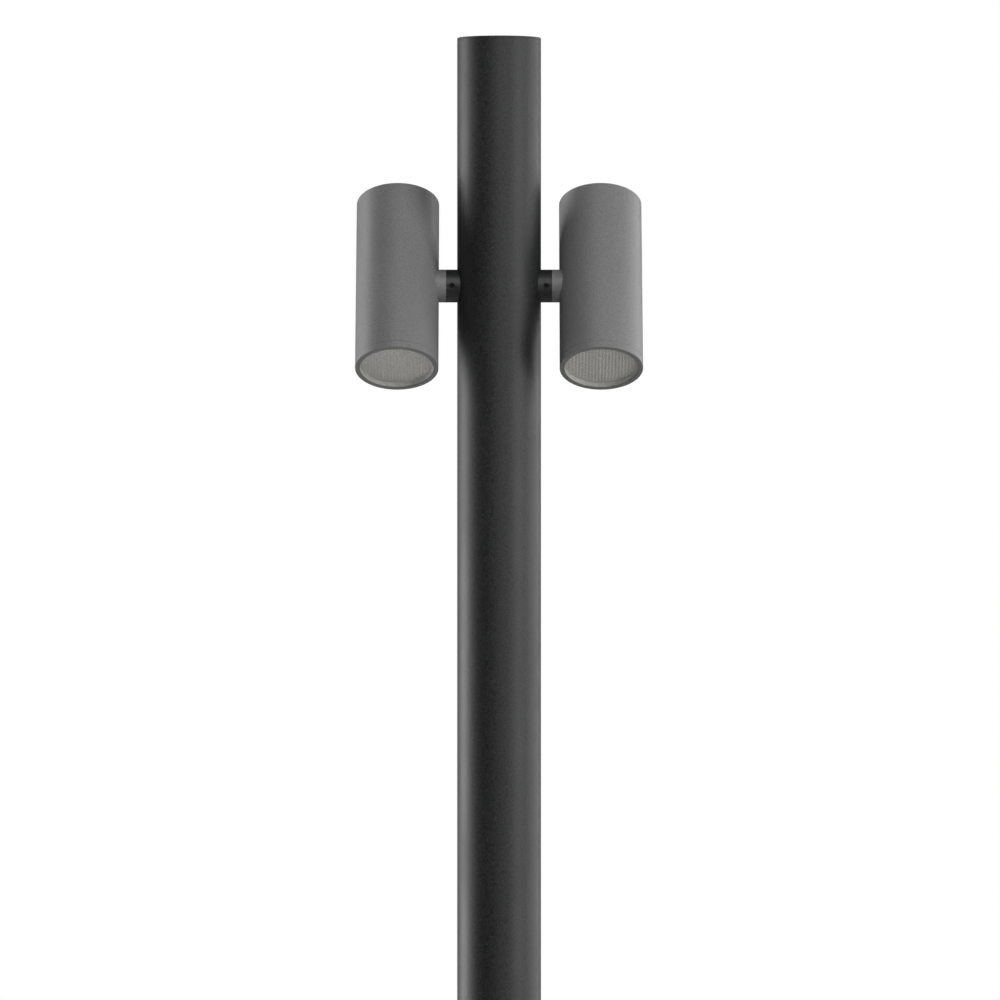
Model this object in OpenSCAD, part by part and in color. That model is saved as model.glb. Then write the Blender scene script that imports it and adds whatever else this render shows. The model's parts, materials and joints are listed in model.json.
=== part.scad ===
// Column luminaire: two tilting cylindrical spotlights on a round steel column.
// Origin at the centre of the base plate's underside, +Z up, the lamps shine towards -Y,
// and X runs across the two lamps. Left is -X. All sizes are in millimetres.

/* [Column] */
// Height of the column above the ground
pole_h = 3000; // [2400:50:4000]
// Outside diameter of the column tube
pole_d = 102; // [92:1:140]
// Wall of the column tube
pole_wall = 3.6; // [3:0.1:5]
// Depth of the lamps' tilt axis below the column's top
axis_drop = 302; // [200:1:500]
// Thickness of the top cap's disc
cap_t = 3; // [2.5:0.5:8]
// Length of the top cap's spigot inside the tube
cap_spigot = 16; // [12:1:40]
// Rounding of the top cap's edge
cap_edge = 1.2; // [0.4:0.1:2]

/* [Base plate] */
// Side of the square base plate
base_w = 250; // [215:5:400]
// Thickness of the base plate
base_t = 16; // [12:1:30]
// Corner radius of the base plate
base_corner = 15; // [5:1:20]
// Depth to which the tube stands in the base plate
base_socket = 10; // [5:1:11]
// Distance between anchor bolt holes, along X and along Y
bolt_pitch = 180; // [160:5:190]
// Diameter of an anchor bolt hole
bolt_hole_d = 18; // [14:1:22]
// Diameter of the cable entry through the base plate
entry_d = 70; // [50:1:74]
// Leg of the weld between tube and base plate
weld_leg = 7; // [4:1:12]

/* [Service door] */
// Width of the door opening in the tube
door_w = 62; // [54:1:70]
// Height of the door opening
door_h = 260; // [240:5:400]
// Height of the opening's lower edge above the ground
door_z = 500; // [300:10:900]
// Corner radius of the door opening
door_corner = 10; // [5:1:20]
// Gap between the door and its opening, all round
door_gap = 0.5; // [0.3:0.1:1.5]
// Thickness of the door
door_t = 2.4; // [1.5:0.1:2.5]
// Width of the ledge that the door closes on
door_ledge = 6; // [4:1:10]
// Width of the door frame behind the tube wall
frame_border = 10; // [6:1:14]
// Thickness of the door frame
frame_t = 3; // [2:0.5:6]
// Length of the threaded tabs that take the door screws
tab_len = 22; // [16:1:30]
// Thickness of the threaded tabs
tab_t = 5; // [4:0.5:8]
// Distance of a door screw from the opening's upper or lower edge
door_screw_in = 16; // [12:1:20]

/* [Fuse box] */
// Width of the fuse box
box_w = 54; // [46:1:56]
// Depth of the fuse box, without its lid
box_d = 32; // [26:1:34]
// Height of the fuse box
box_h = 120; // [110:5:160]
// Wall of the fuse box
box_wall = 2.5; // [1.5:0.5:4]
// Thickness of the fuse box lid
lid_t = 3; // [2:0.5:5]
// Diameter of a cartridge fuse
fuse_d = 10; // [8:1:12]
// Length of a cartridge fuse
fuse_len = 38; // [30:1:45]
// Diameter of the earth stud
earth_d = 8; // [6:1:10]

/* [Lamps] */
// Outside diameter of a lamp
head_d = 101; // [90:1:140]
// Length of a lamp from its front rim to its rear face
head_len = 234; // [200:2:400]
// Wall of a lamp's housing
head_wall = 3; // [2.5:0.1:5]
// Gap between the column and a lamp
lamp_gap = 22.3; // [18:0.1:60]
// Forward tilt of the lamps from straight down
tilt = 30; // [-90:5:90]
// Travel of a lamp to each side of straight down
tilt_limit = 90; // [60:5:100]

/* [Lamp front] */
// Length of the front ring that shows outside the housing
ring_len = 9; // [6:0.5:15]
// Length of the front ring's spigot inside the housing
ring_spigot = 9; // [6:0.5:12]
// Width of the front ring's flat rim
rim_w = 5.9; // [5.5:0.1:9]
// Thickness of the lip that holds the glass
lip_t = 0.8; // [0.6:0.1:2]
// Overlap of the lip on the glass
lip_w = 0.8; // [0.5:0.1:1]
// Thickness of the front glass
glass_t = 4; // [3:0.5:6]
// Thickness of the glass gasket
gasket_t = 1.3; // [0.8:0.1:2]
// Thickness of the ribbed spread lens
lens_t = 3; // [2:0.5:5]
// Spacing of the spread lens's ribs
rib_pitch = 4; // [3:0.5:8]
// Height of the spread lens's ribs
rib_h = 0.9; // [0.3:0.1:1.2]

/* [Lamp inside] */
// Depth of the reflector
reflector_h = 44; // [25:1:46]
// Wall of the reflector
reflector_t = 1.2; // [0.8:0.1:2]
// Diameter of the reflector's opening at the light source
reflector_eye = 26; // [24:1:34]
// Side of the light source's board
led_w = 28; // [24:1:30]
// Diameter of the light source's emitting disc
emitter_d = 20; // [10:1:22]
// Diameter of the holder that clamps the light source
holder_d = 50; // [48:1:60]
// Thickness of the holder
holder_t = 4.5; // [3.5:0.5:8]
// Thickness of the heat sink's base
sink_base = 6; // [4:1:10]
// Thickness of a heat sink fin
fin_t = 2; // [1.5:0.1:3]
// Spacing of the heat sink's fins
fin_pitch = 6.5; // [5:0.5:10]
// Width of the driver
driver_w = 60; // [40:1:62]
// Depth of the driver
driver_d = 28; // [20:1:30]
// Thickness of the driver's bracket
bracket_t = 2; // [1.5:0.5:3]
// Thickness of the rear cap's disc
rear_t = 4; // [4:0.5:4.5]
// Length of the rear cap's spigot
rear_spigot = 6; // [5:0.5:12]
// Width of the housing's rim round the rear cap
rear_rim = 1.8; // [1.2:0.1:2]
// Rounding of the housing's rear edge
rear_edge = 1.2; // [0.4:0.1:1.5]

/* [Tilt joint] */
// Outside diameter of the arm's two halves
arm_d = 40; // [38:1:46]
// Length of the collar outside the column
collar_out = 13.3; // [11:0.1:16]
// Gap between the collar and the lamp's half of the arm
joint_gap = 0.4; // [0.3:0.1:1]
// Chamfer on the edge of the lamp's half of the arm
stub_chamfer = 0.8; // [0.3:0.1:1.5]
// Diameter of the collar's neck through the column wall
neck_d = 34; // [33:0.5:36]
// Length of the neck inside the column wall
neck_in = 8; // [7.5:0.5:10]
// Diameter of the swivel shaft
shaft_d = 26; // [22:0.5:27]
// Diameter of the cable bore through the swivel shaft
shaft_bore_d = 12; // [8:0.5:13]
// Running clearance between shaft and collar, on the radius
run = 0.06; // [0.02:0.01:0.1]
// Distance of the locking screw from the column's surface
lock_out = 6.2; // [5.5:0.1:7]
// Diameter of the locking screw
lock_d = 6; // [5:0.5:6]
// Depth of the shaft's groove under the locking screw
lock_groove = 1.5; // [1:0.1:2]
// Diameter of the stop pin
stop_d = 4; // [3:0.5:4]
// Across flats of the nut that holds the shaft in the lamp
nut_af = 32; // [31:0.5:34]
// Thickness of that nut
nut_t = 8; // [6:0.5:9]

/* [Cables] */
// Diameter of the feed cables
cable_d = 6; // [5:0.5:7]
// Bend radius of the cables at the tilt axis, to the cable's middle
bend_r = 24; // [20:1:26]
// Distance of each feed cable from the column's axis
feed_x = 13; // [12:0.5:14]
// Diameter of the lead from driver to light source
lead_d = 4; // [3:0.5:5]

/* [Hidden] */
$fn = 96;

// Clearance between pieces that sit in or on each other without moving
fit = 0.05;
// Overshoot of a cut past the face that it leaves
over = 1;

// Column
pole_r = pole_d / 2;
pole_ri = pole_r - pole_wall;
axis_z = pole_h - axis_drop;
tube_z0 = base_t - base_socket;
tube_z1 = pole_h - cap_t;
cap_ring_r = 1.25;
cap_ring_z = tube_z1 - cap_spigot / 2;

// Service door
door_mid = door_z + door_h / 2;
gasket_r = pole_ri - fit;
door_ri = pole_r - door_t;
ledge_w = door_w - 2 * door_ledge;
ledge_h = door_h - 2 * door_ledge;
frame_w = door_w + 2 * frame_border;
frame_h = door_h + 2 * frame_border;
tab_w = 20;
tab_mid = ledge_h / 2 - tab_len / 2 + 1;
door_screw_d = 6;
door_head_d = 10.5;
door_head_t = 3;
door_screw_z = [door_z + door_screw_in, door_z + door_h - door_screw_in];

// Fuse box, centred across the column with the feed cables' glands in the tilt plane
box_z0 = door_mid - box_h / 2;
box_z1 = box_z0 + box_h;
box_y0 = -box_d / 2 + 1;
box_y1 = box_y0 + box_d;
gland_af = 18;
gland_body = 8;
gland_dome = 10;
gland_thread_d = 12;
supply_af = 24;
supply_bore_d = 10;
supply_thread_d = 16;
back_t = 3;
back_w = 30;
back_over = 14;
stand_w = 16;
stand_h = 20;
block_w = 40;
block_h = 30;
block_d = 12;
clip_h = 6;
clip_w = 13;
fuse_x = 12;
fuse_y = -1;
fuse_z0 = box_z1 - box_wall - 20 - fuse_len;
fuse_top = fuse_z0 + fuse_len;
lid_screw_d = 3;
gland_end = 5;
post_w = 8;
post_x = box_w / 2 - box_wall - post_w / 2;
post_high = box_z1 - box_wall - gland_end - 1 - post_w / 2;
post_low = box_z0 + box_wall + post_w / 2;
lid_screw_places = [[-post_x, post_high], [post_x, post_low]];
bracket_screw_z = [box_z0 + 8, box_z1 - 12];
earth_z = door_z + 32;
earth_len = 24;
earth_af = 13;
earth_nut_t = 6.5;

// Tilt joint, with X measured from the column's axis
head_x = pole_r + lamp_gap + head_d / 2;
collar_x1 = pole_r + collar_out;
stub_x0 = collar_x1 + joint_gap;
neck_x0 = pole_ri - neck_in;
lock_x = pole_r + lock_out;
shaft_r = shaft_d / 2;
clip_t = 1.5;
clip_play = 0.2;
clip_x1 = neck_x0 - clip_play;
clip_x0 = clip_x1 - clip_t;
clip_depth = 1.5;
clip_out = 2.5;
shaft_x0 = clip_x0 - 3;
stop_x = neck_x0 + stop_d / 2 + 2.5;
stop_depth = 2.5;
stop_play = 0.3;
stop_tip = shaft_r - stop_depth + stop_play;
stop_half = asin((stop_d / 2 + stop_play) / stop_tip);
lock_tip = shaft_r - lock_groove + 0.1;
lock_sink = 0.3;
lock_groove_w = lock_d + 0.4;
hex_af = 3;
hex_depth = 3;
line_w = 0.8;
line_depth = 0.4;
seal_r1 = shaft_r + 4;
seal_r0 = shaft_r + 1.5;
seal_t = 1.5;
cable_split = collar_x1 - 4;
cable_gap = 0.3;

// Lamp, with Z along its own axis, the front at -Z and the column towards -X
head_r = head_d / 2;
head_ri = head_r - head_wall;
front_z = -head_len / 2;
rear_z = head_len / 2;
clear_r = head_r - rim_w;
seat_r = clear_r + lip_w;
glass_z = front_z + lip_t;
gasket_z = glass_z + glass_t;
lens_z = gasket_z + gasket_t;
reflector_z = lens_z + lens_t;
holder_z = reflector_z + reflector_h + fit;
sink_z = holder_z + holder_t;
board_t = 1.6;
emitter_t = 0.6;
pad_r = nut_af / 2 / cos(30) + 0.5;
pad_x = head_ri - 6.5;
nut_x = pad_x - nut_t;
shaft_x1 = nut_x - 1;
cable_x = 6;
pivot_zone = max(pad_r, cable_d / 2) + 5;
driver_z = bend_r + 6;
rear_face = rear_z - 0.3;
rear_seat = rear_z - rear_t;
rear_in = rear_seat - rear_spigot;
boss_at = head_ri - 6;
boss_r = 4;
boss_len = 16;
boss_rib = 6;
screw_d = 4;
screw_head_d = 7;
screw_head_t = 3.6;
screw_len = 14;
cap_wall = boss_r + 5.5;
cap_room = head_ri - 2 * fit - cap_wall;
ring_sect = 1;
ring_groove_z = rear_in + rear_spigot / 2;
foot_d = driver_d - 2;
driver_corner = norm([driver_w, driver_d]) / 2;
driver_top = driver_corner < cap_room ? rear_seat - bracket_t - 3 : rear_in - 1;
leg_out = driver_d / 2 + fit + bracket_t;
leg_w = min(driver_w - 10, 2 * sqrt(pow(cap_room - 1, 2) - pow(leg_out, 2)));
driver_len = driver_top - driver_z;
lead_play = 0.25;
lead_x = led_w / 2 + lead_d / 2 + lead_play;

// Colours
column_grey = "#37393b";
lamp_grey = "#8e8f8f";
bare_metal = "#b9bbbd";
black_rubber = "#1b1b1c";

// ---- shared shapes ----

// Cylinder along an axis between two coordinates
module rod_x(x0, x1, r) {
    translate([x0, 0, 0])
        rotate([0, 90, 0])
            cylinder(h = x1 - x0, r = r);
}

module rod_y(y0, y1, r) {
    translate([0, y0, 0])
        rotate([-90, 0, 0])
            cylinder(h = y1 - y0, r = r);
}

module rod_z(z0, z1, r) {
    translate([0, 0, z0])
        cylinder(h = z1 - z0, r = r);
}

// Hexagonal prism along Z, given across flats
module hex_z(z0, z1, af) {
    translate([0, 0, z0])
        cylinder(h = z1 - z0, r = af / 2 / cos(30), $fn = 6);
}

// Rectangle with round corners, centred
module round_rect(w, h, r) {
    square([w - 2 * r, h], center = true);
    square([w, h - 2 * r], center = true);
    for (x = [-1, 1], y = [-1, 1])
        translate([x * (w / 2 - r), y * (h / 2 - r)])
            circle(r);
}

// Section of a ring or disc whose outer edge is rounded, at its top or its bottom
module edge_section(r0, r1, z0, z1, edge, top = true) {
    low = top ? z0 : z0 + edge;
    corner_z = top ? z1 - edge : z0 + edge;
    translate([r0, z0])
        square([r1 - r0 - edge, z1 - z0]);
    translate([r0, low])
        square([r1 - r0, z1 - z0 - edge]);
    translate([r1 - edge, corner_z])
        circle(edge, $fn = 32);
}

// Ring of round section about the Z axis
module o_ring(ring_r, sect_r, z) {
    translate([0, 0, z])
        rotate_extrude()
            translate([ring_r, 0])
                circle(sect_r, $fn = 32);
}

// Quarter bend of a cable in the XZ plane, from angle start on, about the origin
module quarter_bend(start) {
    rotate([90, 0, 0])
        rotate([0, 0, start])
            rotate_extrude(angle = 90)
                translate([bend_r, 0])
                    circle(cable_d / 2);
}

// Curved plate: the part of a tube's wall behind a rounded rectangle in front of the column
module curved_plate(r_out, r_in, w, h, corner) {
    intersection() {
        difference() {
            rod_z(door_mid - h, door_mid + h, r_out);
            rod_z(door_mid - h - over, door_mid + h + over, r_in);
        }
        door_prism(w, h, corner);
    }
}

// Straight prism from the column's axis out to the front, at the door
module door_prism(w, h, corner) {
    translate([0, 0, door_mid])
        rotate([90, 0, 0])
            linear_extrude(pole_r + over)
                round_rect(w, h, corner);
}

// Puts a right-hand piece on its own side, by mirroring it for the left
module on_side(side) {
    if (side == "left")
        mirror([1, 0, 0])
            children();
    else
        children();
}

// From the lamp's own frame to the column's, at the lamp's resting tilt
module in_lamp(side) {
    on_side(side)
        translate([head_x, 0, axis_z])
            rotate([-tilt, 0, 0])
                children();
}

// ---- column ----

module pole_tube() {
    color(column_grey)
        difference() {
            rod_z(tube_z0, tube_z1, pole_r);
            rod_z(tube_z0 - over, tube_z1 + over, pole_ri);
            translate([0, 0, axis_z])
                rod_x(-pole_r - over, pole_r + over, neck_d / 2 + fit);
            door_prism(door_w, door_h, door_corner);
        }
}

module base_plate() {
    color(column_grey)
        difference() {
            linear_extrude(base_t)
                round_rect(base_w, base_w, base_corner);
            rod_z(-over, base_t, entry_d / 2);
            rod_z(tube_z0 - fit, base_t + over, pole_r + fit);
            for (x = [-1, 1], y = [-1, 1])
                translate([x * bolt_pitch / 2, y * bolt_pitch / 2, 0])
                    rod_z(-over, base_t + over, bolt_hole_d / 2);
        }
}

module base_weld() {
    bead_r = pole_r + fit;
    bead_z = base_t + fit;
    color(column_grey)
        rotate_extrude()
            polygon([[bead_r, bead_z], [bead_r + weld_leg, bead_z], [bead_r, bead_z + weld_leg]]);
}

module pole_cap() {
    spigot_r = pole_ri - 2 * fit;
    color(column_grey)
        difference() {
            union() {
                rotate_extrude()
                    edge_section(0, pole_r, tube_z1 + fit, pole_h, cap_edge);
                rod_z(tube_z1 - cap_spigot, tube_z1 + over, spigot_r);
            }
            rod_z(tube_z1 - cap_spigot - over, tube_z1 - 2, spigot_r - 8);
            translate([0, 0, cap_ring_z])
                rotate_extrude()
                    translate([pole_ri - 2 * cap_ring_r - fit, -cap_ring_r - fit])
                        square([4 * cap_ring_r, 2 * (cap_ring_r + fit)]);
        }
}

module cap_o_ring() {
    color(black_rubber)
        o_ring(pole_ri - fit - cap_ring_r, cap_ring_r - fit, cap_ring_z);
}

// ---- service door ----

module door_frame() {
    color(column_grey)
        difference() {
            union() {
                difference() {
                    curved_plate(gasket_r, gasket_r - frame_t, frame_w, frame_h, door_corner);
                    door_prism(ledge_w, ledge_h, door_corner - door_ledge / 2);
                }
                for (end = [-1, 1])
                    intersection() {
                        curved_plate(gasket_r, gasket_r - tab_t, tab_w, frame_h - 2, 2);
                        translate([-tab_w, -pole_r, door_mid + end * tab_mid - tab_len / 2])
                            cube([2 * tab_w, pole_r, tab_len]);
                    }
            }
            for (z = door_screw_z)
                translate([0, 0, z])
                    rod_y(-pole_r, 0, door_screw_d / 2);
        }
}

module door_panel() {
    color(column_grey)
        difference() {
            curved_plate(pole_r, door_ri, door_w - 2 * door_gap, door_h - 2 * door_gap,
                door_corner - door_gap);
            for (z = door_screw_z)
                translate([0, 0, z])
                    rod_y(-pole_r - over, 0, door_screw_d / 2 + 0.3);
        }
}

module door_gasket() {
    color(black_rubber)
        difference() {
            curved_plate(door_ri - fit, gasket_r + fit, door_w - 4 * door_gap, door_h - 4 * door_gap,
                door_corner - 2 * door_gap);
            door_prism(ledge_w, ledge_h, door_corner - door_ledge / 2);
        }
}

module door_screws() {
    head_y = -pole_r - fit;
    color(bare_metal)
        for (z = door_screw_z)
            translate([0, 0, z])
                difference() {
                    union() {
                        rod_y(head_y - door_head_t, head_y, door_head_d / 2);
                        rod_y(head_y - over, -gasket_r + tab_t + 2, door_screw_d / 2 - fit);
                    }
                    rotate([90, 0, 0])
                        hex_z(-head_y + 1, -head_y + door_head_t + over, 4);
                }
}

// ---- fuse box ----

module fuse_box() {
    color("#d6d4cc")
        difference() {
            translate([-box_w / 2, box_y0, box_z0])
                cube([box_w, box_d, box_h]);
            translate([-box_w / 2 + box_wall, box_y0 - over, box_z0 + box_wall])
                cube([box_w - 2 * box_wall, box_d - box_wall + over, box_h - 2 * box_wall]);
            for (x = [-feed_x, feed_x])
                translate([x, 0, 0])
                    rod_z(box_z1 - box_wall - over, box_z1 + over, gland_thread_d / 2 + fit);
            rod_z(box_z0 - over, box_z0 + box_wall + over, supply_thread_d / 2 + fit);
        }
}

module fuse_box_lid() {
    color("#c4c2ba")
        difference() {
            translate([-box_w / 2, box_y0 - lid_t - fit, box_z0])
                cube([box_w, lid_t, box_h]);
            for (p = lid_screw_places)
                translate([p[0], 0, p[1]])
                    rod_y(box_y0 - lid_t - over, box_y0 + over, lid_screw_d / 2 + fit);
        }
}

module box_terminals() {
    back_y = box_y1 - box_wall - fit;
    front_y = fuse_y - fuse_d / 2 - 1;
    color("#5f6a72") {
        // Terminal block with its wire entries
        difference() {
            translate([-block_w / 2, back_y - block_d, box_z0 + box_wall + 10])
                cube([block_w, block_d, block_h]);
            for (x = [-1.5:1:1.5])
                translate([x * block_w / 4, back_y - block_d / 2, 0])
                    rod_z(box_z0 + box_wall + 10 + block_h - 8, box_z1 - box_wall - 30, 2.2);
        }
        // Clips at both ends of each fuse
        for (x = [-fuse_x, fuse_x], z = [fuse_z0 - clip_h / 2, fuse_top - clip_h / 2])
            difference() {
                translate([x - clip_w / 2, front_y, z])
                    cube([clip_w, back_y - front_y, clip_h]);
                translate([x, fuse_y, 0])
                    rod_z(fuse_z0 - fit, fuse_top + fit, fuse_d / 2 + fit);
            }
        // Posts for the lid screws
        for (p = lid_screw_places)
            difference() {
                translate([p[0] - post_w / 2 + fit, box_y0 + fit, p[1] - post_w / 2 + fit])
                    cube([post_w - 2 * fit, box_d - box_wall - 2 * fit, post_w - 2 * fit]);
                translate([p[0], 0, p[1]])
                    rod_y(box_y0 - over, box_y0 + 14, lid_screw_d / 2 + fit);
            }
    }
}

module fuses() {
    color("#e8e4d8")
        for (x = [-fuse_x, fuse_x])
            translate([x, fuse_y, 0])
                rod_z(fuse_z0, fuse_top, fuse_d / 2);
}

// Cable gland standing on a flat wall at z = 0, with its thread through the wall below
module gland(af, thread_d, bore_d) {
    difference() {
        union() {
            rod_z(-box_wall - gland_end, over, thread_d / 2);
            hex_z(fit, gland_body, af);
            rod_z(gland_body - over, gland_body + gland_dome, af / 2 - 1);
        }
        rod_z(-box_wall - gland_end - over, gland_body + gland_dome + over, bore_d / 2);
    }
}

module box_glands() {
    color("#4b4d50") {
        for (x = [-feed_x, feed_x])
            translate([x, 0, box_z1])
                gland(gland_af, gland_thread_d, cable_d + 2 * fit);
        translate([0, 0, box_z0])
            mirror([0, 0, 1])
                gland(supply_af, supply_thread_d, supply_bore_d);
    }
}

// Strip behind the fuse box, with two stand-offs that reach the column's rear wall
module box_bracket() {
    color(bare_metal)
        difference() {
            intersection() {
                union() {
                    translate([-back_w / 2, box_y1 + fit, box_z0 - back_over])
                        cube([back_w, back_t, box_h + 2 * back_over]);
                    for (z = [box_z0 + stand_h, box_z1 - 2 * stand_h])
                        translate([-stand_w / 2, box_y1 + fit, z])
                            cube([stand_w, pole_r, stand_h]);
                }
                rod_z(door_z, door_z + door_h, pole_ri - fit);
            }
            for (z = bracket_screw_z)
                translate([0, 0, z])
                    rod_y(box_y1 - box_wall - over, box_y1 + back_t + over, screw_d / 2);
        }
}

module box_screws() {
    lid_y = box_y0 - lid_t - 2 * fit;
    color(bare_metal) {
        // Lid screws
        for (p = lid_screw_places)
            translate([p[0], 0, p[1]]) {
                rod_y(lid_y - 2, lid_y, lid_screw_d);
                rod_y(lid_y - 1, box_y0 + 12, lid_screw_d / 2);
            }
        // Screws that hold the strip to the box's back wall
        for (z = bracket_screw_z)
            translate([0, 0, z])
                rod_y(box_y1 + back_t + 2 * fit, box_y1 + back_t + 3, screw_d * 0.9);
    }
}

module earth_stud() {
    color(bare_metal)
        intersection() {
            translate([0, 0, earth_z])
                rod_y(pole_ri - earth_len, pole_r, earth_d / 2);
            rod_z(door_z, door_z + door_h, pole_ri - fit);
        }
}

// Two nuts with a washer between them
module earth_nuts() {
    nut_y = pole_ri - earth_len + 3;
    washer_t = 1.5;
    color("#c9a24a")
        for (part = [0, 1, 2])
            translate([0, nut_y + part * (earth_nut_t + fit), earth_z])
                rotate([-90, 0, 0])
                    difference() {
                        if (part == 1)
                            rod_z(0, washer_t, earth_d);
                        else
                            hex_z(part == 2 ? washer_t - earth_nut_t : 0,
                                part == 2 ? washer_t : earth_nut_t, earth_af);
                        rod_z(-earth_nut_t - over, earth_nut_t + over, earth_d / 2 + fit);
                    }
}

// ---- cables in the column ----

// From the fuse clip up through the gland, then over to the tilt axis
module feed_cable(side) {
    color(black_rubber)
        on_side(side) {
            translate([feed_x, 0, 0])
                rod_z(fuse_top + clip_h / 2 + fit, axis_z - bend_r, cable_d / 2);
            translate([feed_x + bend_r, 0, axis_z - bend_r])
                quarter_bend(90);
            translate([0, 0, axis_z])
                rod_x(feed_x + bend_r, cable_split, cable_d / 2);
        }
}

// ---- tilt joint, column side ----

module collar(side) {
    arm_r = arm_d / 2;
    seal_x = collar_x1 - seal_t;
    color(column_grey)
        on_side(side)
            translate([0, 0, axis_z])
                difference() {
                    union() {
                        difference() {
                            rod_x(sqrt(pow(pole_r, 2) - pow(arm_r, 2)) - 2, collar_x1, arm_r);
                            rod_z(-arm_r - over, arm_r + over, pole_r + fit);
                        }
                        rod_x(neck_x0, collar_x1 - 3, neck_d / 2);
                    }
                    rod_x(neck_x0 - over, collar_x1 + over, shaft_r + run);
                    // Hole of the locking screw, from the front
                    translate([lock_x, 0, 0])
                        rod_y(-arm_r - over, 0, lock_d / 2);
                    // Index line from the locking screw to the joint
                    translate([lock_x + lock_d / 2 + 0.6, -arm_r - over, -line_w / 2])
                        cube([collar_out, over + line_depth, line_w]);
                    // Hole of the stop pin
                    translate([stop_x, 0, 0])
                        rod_z(0, neck_d, stop_d / 2);
                    // Groove of the joint's seal
                    difference() {
                        rod_x(seal_x, collar_x1 + over, seal_r1 + fit);
                        rod_x(seal_x - over, collar_x1 + 2 * over, seal_r0 - fit);
                    }
                }
}

module stop_pins() {
    color(bare_metal)
        for (side = ["left", "right"])
            on_side(side)
                translate([stop_x, 0, axis_z])
                    rod_z(stop_tip, neck_d / 2 - 0.2, stop_d / 2 - fit);
}

module joint_seals() {
    color(black_rubber)
        for (side = ["left", "right"])
            on_side(side)
                translate([0, 0, axis_z])
                    difference() {
                        rod_x(collar_x1 - seal_t + fit, collar_x1 + joint_gap / 4, seal_r1);
                        rod_x(collar_x1 - seal_t - over, collar_x1 + over, seal_r0);
                    }
}

module lock_screw(side) {
    outer_y = -arm_d / 2 + lock_sink;
    cone_h = lock_d / 5;
    color("#26272a")
        on_side(side)
            translate([lock_x, 0, axis_z])
                rotate([90, 0, 0])
                    difference() {
                        union() {
                            rod_z(lock_tip + cone_h, -outer_y, lock_d / 2 - fit);
                            translate([0, 0, lock_tip])
                                cylinder(h = cone_h, r1 = lock_d / 3, r2 = lock_d / 2 - fit);
                        }
                        hex_z(-outer_y - hex_depth, -outer_y + over, hex_af);
                    }
}

// ---- tilt joint, lamp side ----

module swivel_shaft(side) {
    arm_r = arm_d / 2;
    color(lamp_grey)
        in_lamp(side)
            translate([-head_x, 0, 0])
                difference() {
                    union() {
                        // Visible half of the arm, cut to the housing's curve
                        difference() {
                            union() {
                                rod_x(stub_x0 + stub_chamfer, head_x, arm_r);
                                translate([stub_x0, 0, 0])
                                    rotate([0, 90, 0])
                                        cylinder(h = stub_chamfer, r1 = arm_r - stub_chamfer, r2 = arm_r);
                            }
                            translate([head_x, 0, 0])
                                rod_z(-arm_r - over, arm_r + over, head_r + fit);
                        }
                        rod_x(shaft_x0, head_x - shaft_x1, shaft_r);
                    }
                    rod_x(shaft_x0 - over, head_x, shaft_bore_d / 2);
                    // Groove of the retaining clip
                    shaft_groove(clip_x0 - fit, clip_x1 + fit, clip_depth, 360, 0);
                    // Groove under the locking screw
                    shaft_groove(lock_x - lock_groove_w / 2, lock_x + lock_groove_w / 2, lock_groove, 360, 0);
                    // Part-round groove that the stop pin runs in
                    shaft_groove(stop_x - stop_d / 2 - stop_play, stop_x + stop_d / 2 + stop_play,
                        stop_depth, 2 * (tilt_limit + stop_half), 180 - tilt_limit - stop_half);
                }
}

// Groove cut into the shaft over an angle about X, counted so that 180 is at the top
module shaft_groove(x0, x1, depth, angle, start) {
    translate([x0, 0, 0])
        rotate([0, 90, 0])
            rotate([0, 0, start])
                rotate_extrude(angle = angle)
                    translate([shaft_r - depth, 0])
                        square([depth + over, x1 - x0]);
}

// Nut inside the lamp and retaining clip inside the column
module shaft_nuts(side) {
    color(bare_metal)
        in_lamp(side)
            translate([-head_x, 0, 0]) {
                difference() {
                    translate([head_x - pad_x + fit, 0, 0])
                        rotate([0, 90, 0])
                            hex_z(0, nut_t, nut_af);
                    rod_x(0, head_x, shaft_r + fit);
                }
                difference() {
                    rod_x(clip_x0, clip_x1, shaft_r + clip_out);
                    rod_x(clip_x0 - over, clip_x1 + over, shaft_r - clip_depth + fit);
                    // Open ends of the clip
                    translate([clip_x0 - over, -3, 0])
                        cube([clip_t + 2 * over, 6, shaft_d]);
                }
            }
}

// ---- lamp ----

module housing(side) {
    color(lamp_grey)
        in_lamp(side)
            difference() {
                union() {
                    difference() {
                        rotate_extrude()
                            edge_section(head_ri - over, head_r, front_z + ring_len + fit, rear_z, rear_edge);
                        rod_z(front_z, rear_z + over, head_ri);
                        rod_z(rear_seat, rear_z + over, head_r - rear_rim);
                    }
                    // Flat pad for the shaft's nut
                    intersection() {
                        rod_x(-head_r, -pad_x, pad_r);
                        rod_z(-pad_r - over, pad_r + over, head_ri + over);
                    }
                    // Bosses of the rear cap's screws
                    for (a = [45:90:315])
                        rotate([0, 0, a]) {
                            translate([boss_at, 0, 0])
                                rod_z(rear_in - fit - boss_len, rear_in - fit, boss_r);
                            translate([boss_at, -boss_rib / 2, rear_in - fit - boss_len])
                                cube([head_ri - boss_at + over, boss_rib, boss_len]);
                        }
                }
                // Passage of the shaft
                rod_x(-head_r - over, 0, shaft_r + fit);
                for (a = [45:90:315])
                    rotate([0, 0, a])
                        translate([boss_at, 0, 0])
                            rod_z(rear_in - boss_len + 2, rear_in + over, screw_d / 2);
            }
}

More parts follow.
